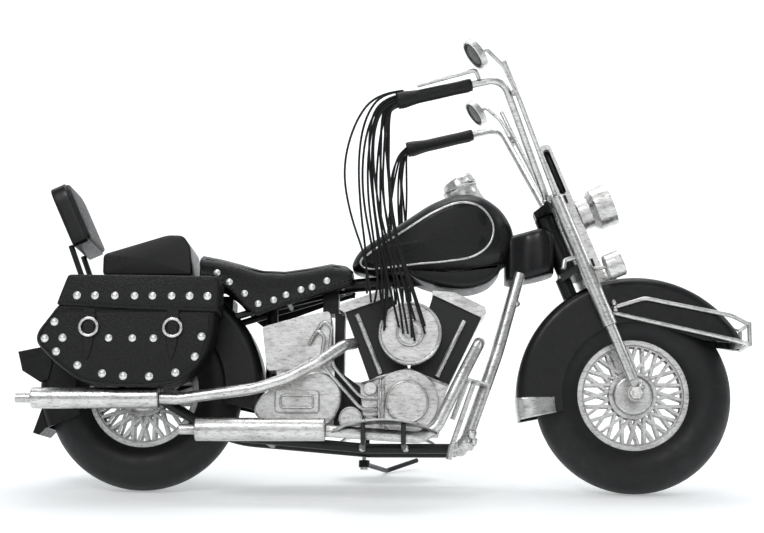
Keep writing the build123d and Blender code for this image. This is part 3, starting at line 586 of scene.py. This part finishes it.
def outward(obj):
    """Make the faces of a closed piece point outward."""
    import bmesh
    work = bmesh.new()
    work.from_mesh(obj.data)
    bmesh.ops.recalc_face_normals(work, faces=work.faces)
    work.to_mesh(obj.data)
    work.free()
    return obj


# %% [markdown]
# ## Leather fringe
# Limp cut lace: fifteen thongs from the right bar end, two of them strays, and nine from the left. The
# thongs keep their order in the bundle, which opens out towards its foot. They follow the bars at the top and the
# frame lower down, because that is where they lie against the tank.

# %%
THONG_D = 1.2
RIGHT_ROWS, LEFT_ROWS = (4, 3, 3, 3), (3, 3, 3)
RIGHT_BUNDLE = [
    ((7.8, -49.4, 195.6), 1.5, (-0.3, 1.4)),
    ((1.6, -49.4, 194.7), 1.5, (-0.5, 1.5)),
    ((-4.2, -48.6, 188.0), 1.6, (-1.8, 1.0)),
    ((-6.0, -47.0, 172.0), 1.7, (-2.6, 0.0)),
    ((-5.6, -42.0, 148.0), 1.7, (-3.0, 0.0)),
    ((-1.4, -39.4, 122.0), 1.6, (-3.6, 0.0)),
    ((4.0, -38.6, 100.0), 1.6, (-5.2, 0.0)),
    ((6.0, -38.4, 81.0), 1.6, (-7.5, 2.5)),
]
LEFT_BUNDLE = [
    ((12.9, 54.5, 197.7), 1.5, (-0.3, 1.4)),
    ((8.6, 54.6, 196.7), 1.5, (-0.5, 1.5)),
    ((4.6, 55.6, 189.0), 1.6, (-1.8, 1.0)),
    ((3.6, 58.4, 170.0), 1.7, (-2.4, 0.0)),
    ((4.0, 62.6, 146.0), 1.7, (-2.8, 0.0)),
    ((6.0, 67.8, 122.0), 1.7, (-3.2, 0.0)),
    ((8.5, 73.0, 97.0), 1.8, (-4.2, 0.0)),
    ((9.5, 75.6, 84.0), 1.8, (-5.0, 2.0)),
]
STRAYS = [
    [(7.6, -50.4, 200.0), (-6.0, -50.6, 198.6), (-17.0, -50.6, 184.0), (-23.0, -50.0, 160.0),
     (-19.0, -48.4, 136.0), (-10.0, -46.6, 112.0), (-8.0, -45.6, 92.0)],
    [(7.6, -47.8, 200.4), (-3.0, -47.8, 200.0), (-12.2, -46.6, 187.0), (-15.4, -44.6, 166.0),
     (-14.0, -40.0, 140.0), (-10.6, -37.6, 116.0), (-10.4, -36.4, 98.0)],
]


def thong_routes(bundle, rows):
    """The route of each thong: the thongs keep their order while the bundle opens out."""
    routes = []
    for place, count in enumerate(rows):
        behind = place - (len(rows) - 1) / 2
        for k in range(count):
            aside = k - (count - 1) / 2
            routes.append([(x + behind * back, y + aside * gap, z + behind * rise)
                           for (x, y, z), gap, (back, rise) in bundle])
    return routes


def spline(name, points):
    """A smooth NURBS line with the points as its control points."""
    data = bpy.data.curves.new(name, "CURVE")
    data.dimensions = "3D"
    line = data.splines.new("NURBS")
    line.points.add(len(points) - 1)
    for point, place in zip(line.points, row(points)):
        point.co = (*place, 1)
    line.use_endpoint_u = True
    line.order_u = 3
    line.resolution_u = 6
    obj = bpy.data.objects.new(name, data)
    bpy.context.collection.objects.link(obj)
    bpy.context.view_layer.update()
    return obj


def thong(name, route):
    """One flat lace, 1.2 mm wide and half as thick, along its route's smooth line."""
    line = spline(name + "_line", route)
    bare = bpy.data.meshes.new_from_object(line.evaluated_get(bpy.context.evaluated_depsgraph_get()))
    path = np.array([v.co[:] for v in bare.vertices])
    bpy.data.objects.remove(line)
    points, faces = tube(path, THONG_D / 2 * MM, sides=8, flat=0.5)
    data = bpy.data.meshes.new(name)
    data.from_pydata(points.tolist(), [], faces)
    data.materials.append(THONG_MAT)
    for polygon in data.polygons:
        polygon.use_smooth = True
    obj = bpy.data.objects.new(name, data)
    bpy.context.collection.objects.link(obj)
    outward(obj)
    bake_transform(obj)
    return obj


WANDER = [0.0, 0.0, 0.6, 1.0, 1.0, 0.65, 0.55, 1.7]


def wandering(route, number, reach):
    """The route with a slow sideways wander, widest where the thongs hang free and at their tips.

    At each stage x moves by reach times that stage's share times the sum of two sines, each with its
    own phase for every thong; y moves by a third of that, and the tips end at different heights.
    """
    out = []
    for k, ((x, y, z), share) in enumerate(zip(route, WANDER)):
        t = k / (len(route) - 1)
        sway = share * (sin(2.4 * number + 3.1 * t) + 0.6 * sin(5.3 * number + 7.0 * t)) / 1.3
        drop = 4.5 * t ** 4 * sin(4.1 * number)
        out.append((x + reach * sway, y + 0.3 * reach * share * sin(3.7 * number + 2.0 * t), z + drop))
    return out


thongs = []
for side, bundle, rows, reach in (("right", RIGHT_BUNDLE, RIGHT_ROWS, 3.0),
                                  ("left", LEFT_BUNDLE, LEFT_ROWS, 4.2)):
    routes = [wandering(route, k, reach) for k, route in enumerate(thong_routes(bundle, rows))]
    for number, route in enumerate(routes + (STRAYS if side == "right" else []), 1):
        thongs.append(thong(f"thong_{side}_{number:02d}", route))
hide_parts("fringe")
for other in thongs[1:]:
    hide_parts("fringe")
print("thongs", len(thongs))

# %% [markdown]
# ## Fuel tank
# The side silhouette is a soft block with a wide round edge, and its width tapers to the tail.

# %%
TANK_SIDE = [(-20.5, 116), (-16, 125.5), (-5, 132.5), (6, 139.4), (22, 150), (36, 155.6), (49, 154.5), (60, 147),
             (65.8, 136.5), (65.6, 126), (60.5, 117.8), (50, 114), (30, 112.6), (8, 112.6), (-12, 113)]
TANK_PLAN_X = [-22, -16, -5, 8, 22, 34, 48, 58, 67]
TANK_PLAN_Y = [7.0, 11.5, 16.0, 19.2, 21.2, 21.6, 20.6, 18.0, 13.0]


def tank_shape():
    """The tank's points and faces, tapered in plan."""
    block = soft_block(TANK_SIDE, -TANK_HALF, TANK_HALF, 10.5, crown=1.4, corner=6, count=160)
    points, faces = across_bike(block)
    half = np.interp(points[:, 0], TANK_PLAN_X, TANK_PLAN_Y)
    points[:, 1] *= half / TANK_HALF
    return points, faces


tank_points, tank_faces = tank_shape()
tank = outward(piece("tank_shell", tank_points, tank_faces, BLACK_MAT, "chassis", "black_paint"))
belly = across_bike(soft_block([(6, 117), (14, 109.5), (26, 105.8), (42, 104.2), (54, 108.4), (61, 119)], -15, 15, 3,
                               crown=0.5, corner=6))
belly = outward(piece("tank_belly", *belly, BLACK_MAT, "chassis", "black_paint"))
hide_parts("fuel_tank")
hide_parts("fuel_tank")
tank_tree = BVHTree.FromPolygons([tuple(p) for p in tank_points], tank_faces)


def on_tank(x, z, side, proud=0.0):
    """The point of the tank's side at x, z."""
    hit, _, _, _ = tank_tree.ray_cast(Vector((x, 80 * side, z)), Vector((0, -side, 0)))
    y = hit.y if hit else side * TANK_HALF * 0.8
    return (x, y + proud * side, z)


BEAD_LOOP = [(-14.4, 119.2), (-9.5, 123.2), (7, 133.5), (23, 143.4), (37, 148.8), (48, 146.4), (54.2, 137.5),
             (52.5, 127.5), (44, 120.6), (30, 117.9), (12, 116.5), (-6, 115.2), (-12.5, 116.0)]
loop = curve_through(BEAD_LOOP, 9, closed=True)
middle = loop.mean(axis=0)
beads, panels = [], []
for side in (-1, 1):
    beads.append(tube([on_tank(x, z, side, 0.15) for x, z in loop], 0.65, 8, closed=True))
    rings = [[on_tank(*(middle + (loop - middle) * t)[k], side, 0.12) for k in range(len(loop))]
             for t in (0.02, 0.2, 0.4, 0.6, 0.8, 0.99)]
    panel = (np.array(rings).reshape(-1, 3), skin(rings)[:-1])
    panels.append(panel if side > 0 else (panel[0], [tuple(reversed(f)) for f in panel[1]]))
piece("tank_beads", *joined(beads), SILVER_MAT, "chassis", "silver_paint")
piece("tank_panels", *joined(panels), STIPPLE_MAT, "chassis", "black_paint")

# The instrument pod is two turned shells with a seam, rubbed lumpy.

POD_FOOT, POD_TURN = np.array([44.0, 0, 143.0]), radians(19)
POD_STEPS = [(0.0, 11.8), (3.0, 11.7), (8.0, 10.9), (13.0, 9.9), (17.6, 8.9), (18.0, 9.3), (18.6, 9.5), (19.0, 9.2),
             (19.3, 8.7)]
LID_FOOT, LID_TURN = np.array([38.6, 0, 160.7]), radians(31)
LID_STEPS = [(0.0, 8.9), (0.6, 9.3), (1.2, 9.0), (3.8, 8.6), (5.0, 8.3), (5.7, 7.4), (6.0, 5.5), (6.1, 2.0), (6.1, 0.2)]


def turned_shell(foot, tilt, steps, sides=48):
    """A turned shape on a tilted axis; its radius wavers by a few sine waves like hand-beaten tin."""
    up, ahead = np.array([-sin(tilt), 0, cos(tilt)]), np.array([cos(tilt), 0, sin(tilt)])
    rings = []
    for height, radius in steps:
        ring = []
        for a in np.linspace(0, 2 * pi, sides, endpoint=False):
            waver = 1 + 0.014 * sin(3 * a + 0.3 * height) + 0.010 * sin(5 * a - 0.5 * height)
            p = foot + up * height + ahead * radius * waver * cos(a)
            ring.append((p[0], radius * waver * sin(a), p[2]))
        rings.append(ring)
    return np.array(rings).reshape(-1, 3), skin(rings)


pod = [turned_shell(POD_FOOT, POD_TURN, POD_STEPS), turned_shell(LID_FOOT, LID_TURN, LID_STEPS)]
pod = outward(piece("pod_shells", *joined(pod), SILVER_MAT, "chassis", "silver_paint"))
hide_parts("instrument_pod")

# %% [markdown]
# ## Saddle, pillion and backrest

# %%
SEAT_X = [-97.0, -88, -78, -66, -54, -42, -30, -22, -18.5]
SEAT_TOP = [123.0, 121.2, 118.6, 115.2, 114.8, 116.6, 119.0, 118.0, 115.0]
SEAT_EDGE = [118.3, 117.0, 114.6, 111.2, 110.6, 112.2, 114.6, 113.4, 110.5]
SEAT_HEM_X = [-97.0, -88.5, -80.5, -73.5, -67.0, -60, -40, -18.5]
SEAT_HEM = [108.6, 107.3, 101.4, 93.2, 88.4, 91.0, 98.5, 106.2]
SEAT_HALF, SEAT_ROLL = 24.0, 3.4
LEATHER_T = 1.1


def seat_section(x):
    """Right hem, up the skirt, round the rolled edge, over the dished top, and down the left skirt."""
    top, edge = np.interp(x, SEAT_X, SEAT_TOP), np.interp(x, SEAT_X, SEAT_EDGE)
    hem = np.interp(x, SEAT_HEM_X, SEAT_HEM)
    skirt = [(SEAT_HALF - 0.5 * sin(pi * t), hem + (edge - SEAT_ROLL - hem) * t) for t in np.linspace(0, 1, 12)]
    roll = [(SEAT_HALF - SEAT_ROLL * (1 - cos(a)), edge - SEAT_ROLL * (1 - sin(a)))
            for a in np.radians([15, 35, 55, 75, 90])]
    crown = [(y, edge + (top - edge) * (1 - (y / (SEAT_HALF - SEAT_ROLL)) ** 2) - 0.8 * cos(pi * y / 24) ** 8)
             for y in (17, 13, 9, 5, 2)]
    half = skirt + roll + crown
    middle = [(0, top - 0.8)]
    return [(x, -y, z) for y, z in half] + [(x, y, z) for y, z in middle] + [(x, y, z) for y, z in reversed(half)]


def thick_sheet(rows, thickness, y_middle=0.0):
    """An open sheet with a second skin inside it and closed edges."""
    top = np.array(rows, float)
    du = np.gradient(top, axis=0)
    dv = np.gradient(top, axis=1)
    normal = np.cross(du, dv)
    normal /= np.maximum(np.linalg.norm(normal, axis=2)[..., None], 1e-9)
    centre = top.reshape(-1, 3).mean(axis=0)
    centre[1] = y_middle
    if np.sum(normal * (top - centre)) < 0:
        normal = -normal
    under = top - normal * thickness
    rings = [np.concatenate([a, b[::-1]]) for a, b in zip(top, under)]
    return np.concatenate(rings), skin(rings)


seat_x = np.linspace(-97, -18.5, 56)
seat_rows = [seat_section(x) for x in seat_x]
seat = outward(piece("saddle_leather", *thick_sheet(seat_rows, LEATHER_T), LEATHER_MAT, "chassis", "black_leather"))
pan = across_bike(soft_block([(-95, 112), (-95, 119.5), (-84, 117), (-68, 112.8), (-52, 112), (-27, 116), (-20, 113),
                              (-20, 108), (-60, 103.5), (-84, 108)], -20.5, 20.5, 1.5))
pan = outward(piece("saddle_pan", *pan, BLACK_MAT, "chassis", "black_paint"))
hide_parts("solo_seat")
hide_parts("solo_seat")


def stitches(path, length=1.5, gap=1.1, radius=0.22):
    """Short thread stitches along a path."""
    path = np.asarray(path, float)
    run = np.concatenate([[0], np.cumsum(np.linalg.norm(np.diff(path, axis=0), axis=1))])
    parts = []
    for start in np.arange(gap, run[-1] - length, length + gap):
        at = start + np.array([0.0, 0.15, 0.5, 0.85, 1.0]) * length
        line = np.stack([np.interp(at, run, path[:, k]) for k in range(3)], 1)
        parts.append(tube(line, np.array([0.4, 1, 1, 1, 0.4]) * radius, 5))
    return parts


hem = curve_through([(x, -SEAT_HALF - 0.05, np.interp(x, SEAT_HEM_X, SEAT_HEM) + 1.5) for x in SEAT_HEM_X], 8)
seat_thread = stitches(hem)
piece("saddle_stitches", *joined(seat_thread + [mirror_y(s) for s in seat_thread]), LEATHER_MAT, "chassis",
      "black_leather")

PILLION = [(-148.4, 110.0), (-148.4, 121.2), (-115, 131.6), (-107, 131.4), (-103, 125.5), (-101.6, 110.0)]
pillion = outward(piece("pillion_cushion", *across_bike(soft_block(PILLION, -18, 18, 1.1, crown=0.4, corner=2.2)),
                        BLACK_MAT, "chassis", "black_leather"))
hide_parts("pillion_seat")

BACK_TILT = radians(25)
BACK_AT = np.array([-166.4, 0, 142.5])
back_up = np.array([-sin(BACK_TILT), 0, cos(BACK_TILT)])
back_ahead = np.array([cos(BACK_TILT), 0, sin(BACK_TILT)])


def backrest_shape(half_width, half_height, near, far, edge, crown):
    """An oblong pad with well rounded corners, in the backrest's own tilted plane."""
    w, h = half_width, half_height
    outline = [(-w, -h), (-w, h * 0.55), (-w * 0.93, h * 0.83), (-w * 0.72, h), (w * 0.72, h), (w * 0.93, h * 0.83),
               (w, h * 0.55), (w, -h)]
    points, faces = soft_block(outline, near, far, edge, crown, corner=3.0)
    placed = BACK_AT + points[:, 1:2] * back_up + points[:, 2:3] * back_ahead
    placed[:, 1] += points[:, 0]
    return placed, faces


pad = outward(piece("backrest_cushion", *backrest_shape(20.6, 16.6, 1.5, 5.2, 1.6, 1.0), LEATHER_MAT, "chassis",
                    "black_leather"))
tray = outward(piece("backrest_tray", *backrest_shape(21.6, 17.4, -5.0, 3.4, 0.9, 0.2), BLACK_MAT, "chassis",
                     "black_leather"))
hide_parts("backrest_pad")
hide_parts("backrest_pad")

# %% [markdown]
# ## Saddlebags

# %%
BAG = [(-86.5, 92), (-87, 80), (-88.5, 71), (-92, 63), (-99, 55.5), (-106, 51.5), (-120, 49.6), (-136, 49.8),
       (-147, 51), (-154, 53), (-160, 57.5), (-166, 62), (-175.5, 71.5), (-175.3, 77), (-170, 84), (-164.5, 92)]
LID = [(-84.8, 87.4), (-125, 88.4), (-165.8, 90.4), (-163.6, 97), (-160.4, 106.0), (-122, 105.9), (-84.4, 105.4),
       (-84.6, 96)]
STRAPS = [(-149.0, 79.4), (-107.0, 79.2)]
bag_right = across_bike(soft_block(BAG, BAG_OUT_Y, BAG_IN_Y, 2.0, crown=0.35, sag=0.9, corner=4, count=170))
lid_right = across_bike(soft_block(LID, BAG_OUT_Y - 1.3, BAG_IN_Y, 1.0, crown=0.3, sag=0.2, corner=1.4, count=150))


def bag_piping():
    """Rolled seam round the bag's outer face, just inside its edge."""
    rim = resampled(eased(BAG, 4), 150)
    middle = rim.mean(axis=0)
    rim = middle + (rim - middle) * 0.965
    rim = rim[rim[:, 1] < 88]
    start = int(np.argmax(np.linalg.norm(np.diff(rim, axis=0), axis=1))) + 1
    rim = np.roll(rim, -start, 0)
    return tube([(x, BAG_OUT_Y - 0.05, z) for x, z in rim], 0.7, 8)


def strap(x, z):
    """Pointed strap with a keeper loop, hanging over the bag from under the lid."""
    outline = [(x - 3, 88.5), (x - 2.7, z - 8), (x - 1.6, 65.5), (x - 0.4, 62.8), (x + 0.9, 65.5), (x + 2.3, z - 8),
               (x + 3, 88.5)]
    body = across_bike(soft_block(outline, BAG_OUT_Y - 1.1, BAG_OUT_Y, 0.35, corner=0.6, count=70))
    keeper = [(x - 3.4, z + 6.2), (x + 3.4, z + 6.2), (x + 3.4, z + 4.2), (x - 3.4, z + 4.2)]
    tab = across_bike(soft_block(keeper, BAG_OUT_Y - 1.9, BAG_OUT_Y, 0.3, corner=0.5, count=40))
    return [body, tab]


LID_STUD_X = [-155.5, -146.5, -136.5, -126.5, -117.5, -108.0, -99.0, -90.0]
BODY_STUD_XZ = [(-166.5, 82), (-171, 73.6), (-162, 74), (-165, 67), (-154, 60.2), (-141.5, 56.2), (-131, 55),
                (-118, 54.8), (-105, 56.8), (-95.5, 64.8), (-92.5, 75), (-139, 74), (-127, 74), (-116.5, 74)]
SEAT_STUD_XZ = [(-88, 110.5), (-81.5, 105.7), (-73.5, 99.8), (-66.5, 94.5), (-58.5, 96.5), (-52.3, 99.2),
                (-44.6, 101.9), (-39, 103.3), (-31.4, 106.6)]


def rivet(x, y, z, radius):
    """Low domed rivet head, hammered a little off centre."""
    tilt = 0.10 * sin(7.0 * x + 3.0 * z)
    rings = []
    for share in (1.0, 1.02, 0.97, 0.86, 0.68, 0.45, 0.2, 0.04):
        proud = 0.1 if share == 1.0 else 0.1 + 0.95 * radius * 0.5 * (1 - share ** 2.4)
        rings.append([(x + radius * share * cos(a), y - proud - tilt * share * cos(a), z + radius * share * sin(a))
                      for a in np.linspace(0, 2 * pi, 20, endpoint=False)])
    return np.array(rings).reshape(-1, 3), skin(rings)


heads = [rivet(x, BAG_OUT_Y - 1.35, 95.2, 2.0) for x in LID_STUD_X]
heads += [rivet(x, BAG_OUT_Y - 0.1, z, 2.0) for x, z in BODY_STUD_XZ]
heads += [rivet(x, -SEAT_HALF, z, 1.7) for x, z in SEAT_STUD_XZ]
rivets = outward(piece("rivets", *joined(heads + [mirror_y(h) for h in heads]), RIVET_MAT, "chassis", "bright_steel"))
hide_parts("studs")

strap_parts = [part for x, z in STRAPS for part in strap(x, z)]
lid_edge = [(x, BAG_OUT_Y - 1.55, np.interp(x, [-165, -125, -85], [92.2, 90.2, 89.2])) for x in np.linspace(-164, -86, 40)]
lid_thread = stitches(lid_edge)
for name, shapes, slot_node in (("saddlebag", [bag_right, bag_piping()], "saddlebag"), ("lid", [lid_right], "bag_lids"),
                                ("straps", strap_parts, "bag_straps"), ("lid_stitches", lid_thread, None)):
    for side in ("right", "left"):
        chosen = shapes if side == "right" else [mirror_y(s) for s in shapes]
        made = outward(piece(f"{name}_{side}_leather", *joined(chosen), LEATHER_MAT, "chassis", "black_leather"))
        if slot_node:
            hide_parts(slot_node + (f"_{side}" if slot_node == "saddlebag" else ""))

# %% [markdown]
# ## Grips and neck cover

# %%
GRIP_OUT, GRIP_IN = (10.54, -52.03, 196.68), (44.8, -51.3, 204.25)


def grip(side):
    """Leather sleeve rolled round the bar, opening a little where the thongs come out."""
    share = np.array([-0.111, -0.11, -0.07, -0.02, 0.04, 0.12, 0.22, 0.5, 0.75, 0.95, 0.99, 1.0])
    radius = [3.6, 4.2, 4.35, 4.3, 4.1, 3.7, 3.3, 3.3, 3.15, 3.3, 3.1, 2.0]
    points = np.array(GRIP_OUT) + share[:, None] * (np.array(GRIP_IN) - np.array(GRIP_OUT))
    sleeve = tube(points, radius, 20)
    seam = [(p[0], p[1] - 0.2, p[2] - r) for p, r in zip(points[3:-2], radius[3:-2])]
    parts = [sleeve, tube(seam, 0.45, 6)]
    return parts if side == "right" else [mirror_y(s) for s in parts]


grips = outward(piece("grip_leather", *joined(grip("right") + grip("left")), LEATHER_MAT, "steering", "black_leather",
                      front=True))
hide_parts("grips")

NECK_X = [61.5, 64, 70, 76, 82, 86.5]
NECK_LOW = [109.4, 109.2, 109.8, 111.0, 112.6, 114.0]
NECK_HIGH = [131.0, 133.6, 135.6, 137.2, 138.6, 136.0]


def neck_wrap():
    """One sheet wrapped round the neck. It stands out by a wave with two folds along it."""
    rings = []
    for x in np.linspace(NECK_X[0], NECK_X[-1], 40):
        low, high = np.interp(x, NECK_X, NECK_LOW), np.interp(x, NECK_X, NECK_HIGH)
        wave = (x - NECK_X[0]) / (NECK_X[-1] - NECK_X[0])
        half = 12.0 + 0.9 * sin(2 * pi * 1.6 * wave + 0.6) - 2.2 * max(0, abs(wave - 0.5) - 0.42) / 0.08
        middle, tall = (low + high) / 2, (high - low) / 2
        ring = []
        for a in np.linspace(0, 2 * pi, 48, endpoint=False):
            c, q = cos(a), sin(a)
            ring.append((x, half * abs(c) ** 0.28 * np.sign(c), middle + tall * abs(q) ** 0.45 * np.sign(q)))
        rings.append(ring)
    return np.array(rings).reshape(-1, 3), skin(rings)


neck = outward(piece("neck_wrap", *neck_wrap(), BLACK_MAT, "chassis", "black_paint"))
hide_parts("neck_cover")

# %% [markdown]
# ## Small trim
# Beads, bands, lamp glasses and solder, which the tinsmith adds last.

# %%
def ring_across(x, z, radius, y, thick, sides=48):
    """A round bead standing across the bike."""
    turn = np.linspace(0, 2 * pi, sides, endpoint=False)
    return tube([(x + radius * cos(a), y, z + radius * sin(a)) for a in turn], thick, 8, closed=True)


engine_beads = [ring_across(11.4, 78.6, 15.2, -33.4, 0.8), ring_across(11.4, 78.6, 6.4, -34.6, 0.6),
                ring_across(11.4, 78.6, 3.4, -34.7, 0.5), ring_across(10.1, 44.7, 10.2, -25.1, 0.5),
                ring_across(-18.5, 36.2, 5.6, -22.5, 0.45)]


def oblong_bead(x0, x1, z0, z1, y, thick):
    """A rounded oblong of wire lying on a face."""
    path = eased([(x0, z0), (x1, z0), (x1, z1), (x0, z1)], 1.6, 4)
    return tube([(x, y, z) for x, z in resampled(path, 60)], thick, 8, closed=True)


engine_beads += [oblong_bead(-56.4, -34.6, 39.0, 49.6, -24.9, 0.45), oblong_bead(-53.8, -37.4, 41.2, 47.4, -25.9, 0.5)]
ridges = [tube([(x, -23.2, 31.5), (x, -23.2, 56.5)], 0.5, 8) for x in (-3.4, -1.6)]
ridges += [tube([(-12.2, -20.3, z), (-4.8, -20.3, z)], 0.7, 8) for z in (37.2, 41.4)]
ridges += [tube([(-13.4, -20.2, 54.2), (10.9, -20.2, 61.6), (30.6, -20.2, 53.6)], 0.6, 8)]
engine_beads += ridges
piece("engine_beads", *joined(engine_beads), SILVER_MAT, "chassis", "silver_paint")


def fender_band(centre, radius, half, low_deg, high_deg, name):
    """Bright band wrapped over a fender's end: over the top, with a short wall down each side."""
    rows = []
    for a in np.radians(np.linspace(low_deg, high_deg, 12)):
        section = [(radius - 20, -half)] + [(radius - 5 + 5 * sin(b), -half + 5 - 5 * cos(b)) for b in np.radians(
            [0, 20, 45, 70, 90])]
        section += [(r, -y) for r, y in reversed(section)]
        rows.append([(centre[0] + r * cos(a), y, centre[1] + r * sin(a)) for r, y in section])
    return outward(piece(name, *thick_sheet(rows, 0.5), SILVER_MAT, "steering", "silver_paint", front=True))


fender_band((128.3, 49.7), 62.1, 16.1, 181.0, 191.8, "front_fender_band")


def lump(centre, radius, seed):
    """A blob of solder: a ball whose radius wavers by a few sine waves."""
    rows = []
    for lat in np.linspace(-pi / 2 + 0.12, pi / 2 - 0.12, 9):
        ring = []
        for lon in np.linspace(0, 2 * pi, 14, endpoint=False):
            waver = 1 + 0.16 * sin(3 * lon + seed) * cos(2 * lat + seed) + 0.1 * sin(5 * lat + 2 * seed)
            r = radius * waver
            ring.append((centre[0] + r * cos(lat) * cos(lon), centre[1] + r * cos(lat) * sin(lon), centre[2] + r * sin(lat)))
        rows.append(ring)
    return np.array(rows).reshape(-1, 3), skin(rows)


FRAME_SOLDER = [((42.5, -20, 29), 3.0), ((39.5, -21, 24.5), 3.2), ((35.0, -20, 22.4), 2.8), ((43.5, -18.5, 25.5), 2.4),
                ((-132.5, -34, 46.5), 3.6), ((-12.5, -21.6, 21.4), 1.8), ((9.5, -21.6, 21.4), 1.8),
                ((66.8, -12.6, 97), 1.6)]
FORK_SOLDER = [((127.0, -22.2, 50.5), 2.4), ((129.5, -21.6, 54.0), 2.0), ((86, -19, 151.5), 2.6), ((88.5, -15, 149.5), 2.2),
               ((83, -12, 152), 2.2), ((117.5, -18, 94), 1.7), ((117, -18, 97), 1.5), ((66, -48.5, 200.5), 1.6)]
solder = [lump(c, r, k) for k, (c, r) in enumerate(FRAME_SOLDER)]
piece("frame_solder", *joined(solder + [mirror_y(s) for s in solder[:4]]), SILVER_MAT, "chassis", "silver_paint")
solder = [lump(c, r, k + 0.5) for k, (c, r) in enumerate(FORK_SOLDER)]
piece("fork_solder", *joined(solder + [mirror_y(s) for s in solder]), SILVER_MAT, "steering", "silver_paint", front=True)


MIRROR_DISC_R = 6.3


def mirror_glass(side):
    """Dark disc sunk in a mirror's rim."""
    face = np.array([-0.78, -0.19, -0.60])
    face /= np.linalg.norm(face)
    flat = np.cross(face, (0, 1, 0))
    flat /= np.linalg.norm(flat)
    other = np.cross(face, flat)
    middle = np.array([46.4, -57.0 * side, 218.6]) + face * 0.75
    rings = []
    for share, rise in ((1.0, -0.3), (1.0, 0.15), (0.8, 0.3), (0.5, 0.45), (0.05, 0.5)):
        rings.append([tuple(middle + face * rise + MIRROR_DISC_R * share * (cos(a) * flat + sin(a) * other))
                      for a in np.linspace(0, 2 * pi, 40, endpoint=False)])
    return np.array(rings).reshape(-1, 3), skin(rings)


mirror_discs = joined([mirror_glass(1), mirror_glass(-1)])
outward(piece("mirror_discs", *mirror_discs, BLACK_MAT, "steering", "black_paint", front=True))


def shroud_inlay(side):
    """Black strip in the floor of the long slot beside the fork cover."""
    low, high, half, a_mid = 109.8, 134.2, 1.6, 13.85
    turns = np.radians(np.linspace(0, 180, 9))
    outline = [(a_mid + half * cos(t), high - half + half * sin(t)) for t in turns]
    outline += [(a_mid - half * cos(t), low + half - half * sin(t)) for t in turns]
    rings = [[fork_point(a, side * y, u) for a, u in outline] for y in (4.5, 5.2)]
    return np.array(rings).reshape(-1, 3), skin(rings)


outward(piece("shroud_inlays", *joined([shroud_inlay(1), shroud_inlay(-1)]), BLACK_MAT, "steering", "black_paint",
              front=True))


def lamp_glass(ahead, y, up, radius, dome):
    """A domed disc in the mouth of a lamp."""
    rows = []
    for share in (0.03, 0.3, 0.55, 0.75, 0.9, 1.0):
        r = radius * share
        ring = []
        for a in np.linspace(0, 2 * pi, 36, endpoint=False):
            p = np.array(fork_point(ahead + dome * (1 - share ** 2), 0, up + r * sin(a)))
            ring.append((p[0], y + r * cos(a), p[2]))
        rows.append(ring)
    rows.append([tuple(np.array(p) - AXIS_AHEAD * 1.2) for p in rows[-1]])
    return np.array(rows).reshape(-1, 3), skin(rows)


glasses = [lamp_glass(33.0, 0, 96.0, 9.6, 1.6), lamp_glass(25.2, -23.5, 62, 5.2, 0.9),
           lamp_glass(25.2, 23.5, 62, 5.2, 0.9)]
outward(piece("lamp_glasses", *joined(glasses), DARK_SILVER_MAT, "steering", "silver_paint", front=True))

# %% [markdown]
# ## Stage, light and finish

# %%
def backdrop():
    """Pale floor that curves up into a wall behind."""
    profile = [(-3.0, 0.0), (0.9, 0.0)] + [(0.9 + 0.7 * sin(a), 0.7 - 0.7 * cos(a)) for a in np.radians(range(8, 91, 8))]
    profile.append((1.6, 3.5))
    points = [(x, y, z - 0.00005) for y, z in profile for x in (-4, 4)]
    faces = [(2 * i, 2 * i + 1, 2 * i + 3, 2 * i + 2) for i in range(len(profile) - 1)]
    data = bpy.data.meshes.new("backdrop")
    data.from_pydata(points, [], faces)
    for polygon in data.polygons:
        polygon.use_smooth = True
    s = Shader("paper", (0.78, 0.79, 0.80), roughness=0.85, edge=0.0)
    s.roughness(s.spread(s.noise(30), 0.8, 0.9))
    s.bsdf.inputs["Emission Color"].default_value = (0.98, 1.0, 1.0, 1)
    s.bsdf.inputs["Emission Strength"].default_value = 0.34
    data.materials.append(s.material)
    obj = bpy.data.objects.new("backdrop", data)
    bpy.context.collection.objects.link(obj)


def area_light(name, place, target, size, power):
    data = bpy.data.lights.new(name, "AREA")
    data.shape, data.size, data.energy = "DISK", size, power
    obj = bpy.data.objects.new(name, data)
    obj.location = place
    obj.rotation_euler = (Vector(target) - Vector(place)).to_track_quat("-Z", "Y").to_euler()
    bpy.context.collection.objects.link(obj)


backdrop()
area_light("key", (-0.45, -0.9, 1.1), (0, 0, 0.1), 0.5, 4.5)
area_light("front", (0.05, -1.5, 0.78), (0, 0, 0.1), 1.0, 1.9)
area_light("rim", (1.0, 0.0, 0.7), (0, 0, 0.1), 0.5, 1.5)
area_light("top", (0.0, 0.1, 1.5), (0, 0, 0.1), 1.1, 3.0)
area_light("wall", (0.0, 0.5, 1.6), (0, 1.6, 0.6), 1.2, 16)
world = bpy.data.worlds.new("studio")
world.use_nodes = True
world.node_tree.nodes["Background"].inputs["Color"].default_value = (0.93, 0.96, 1.0, 1)
world.node_tree.nodes["Background"].inputs["Strength"].default_value = 0.34
bpy.context.scene.world = world
bpy.context.scene.view_settings.view_transform = "Standard"
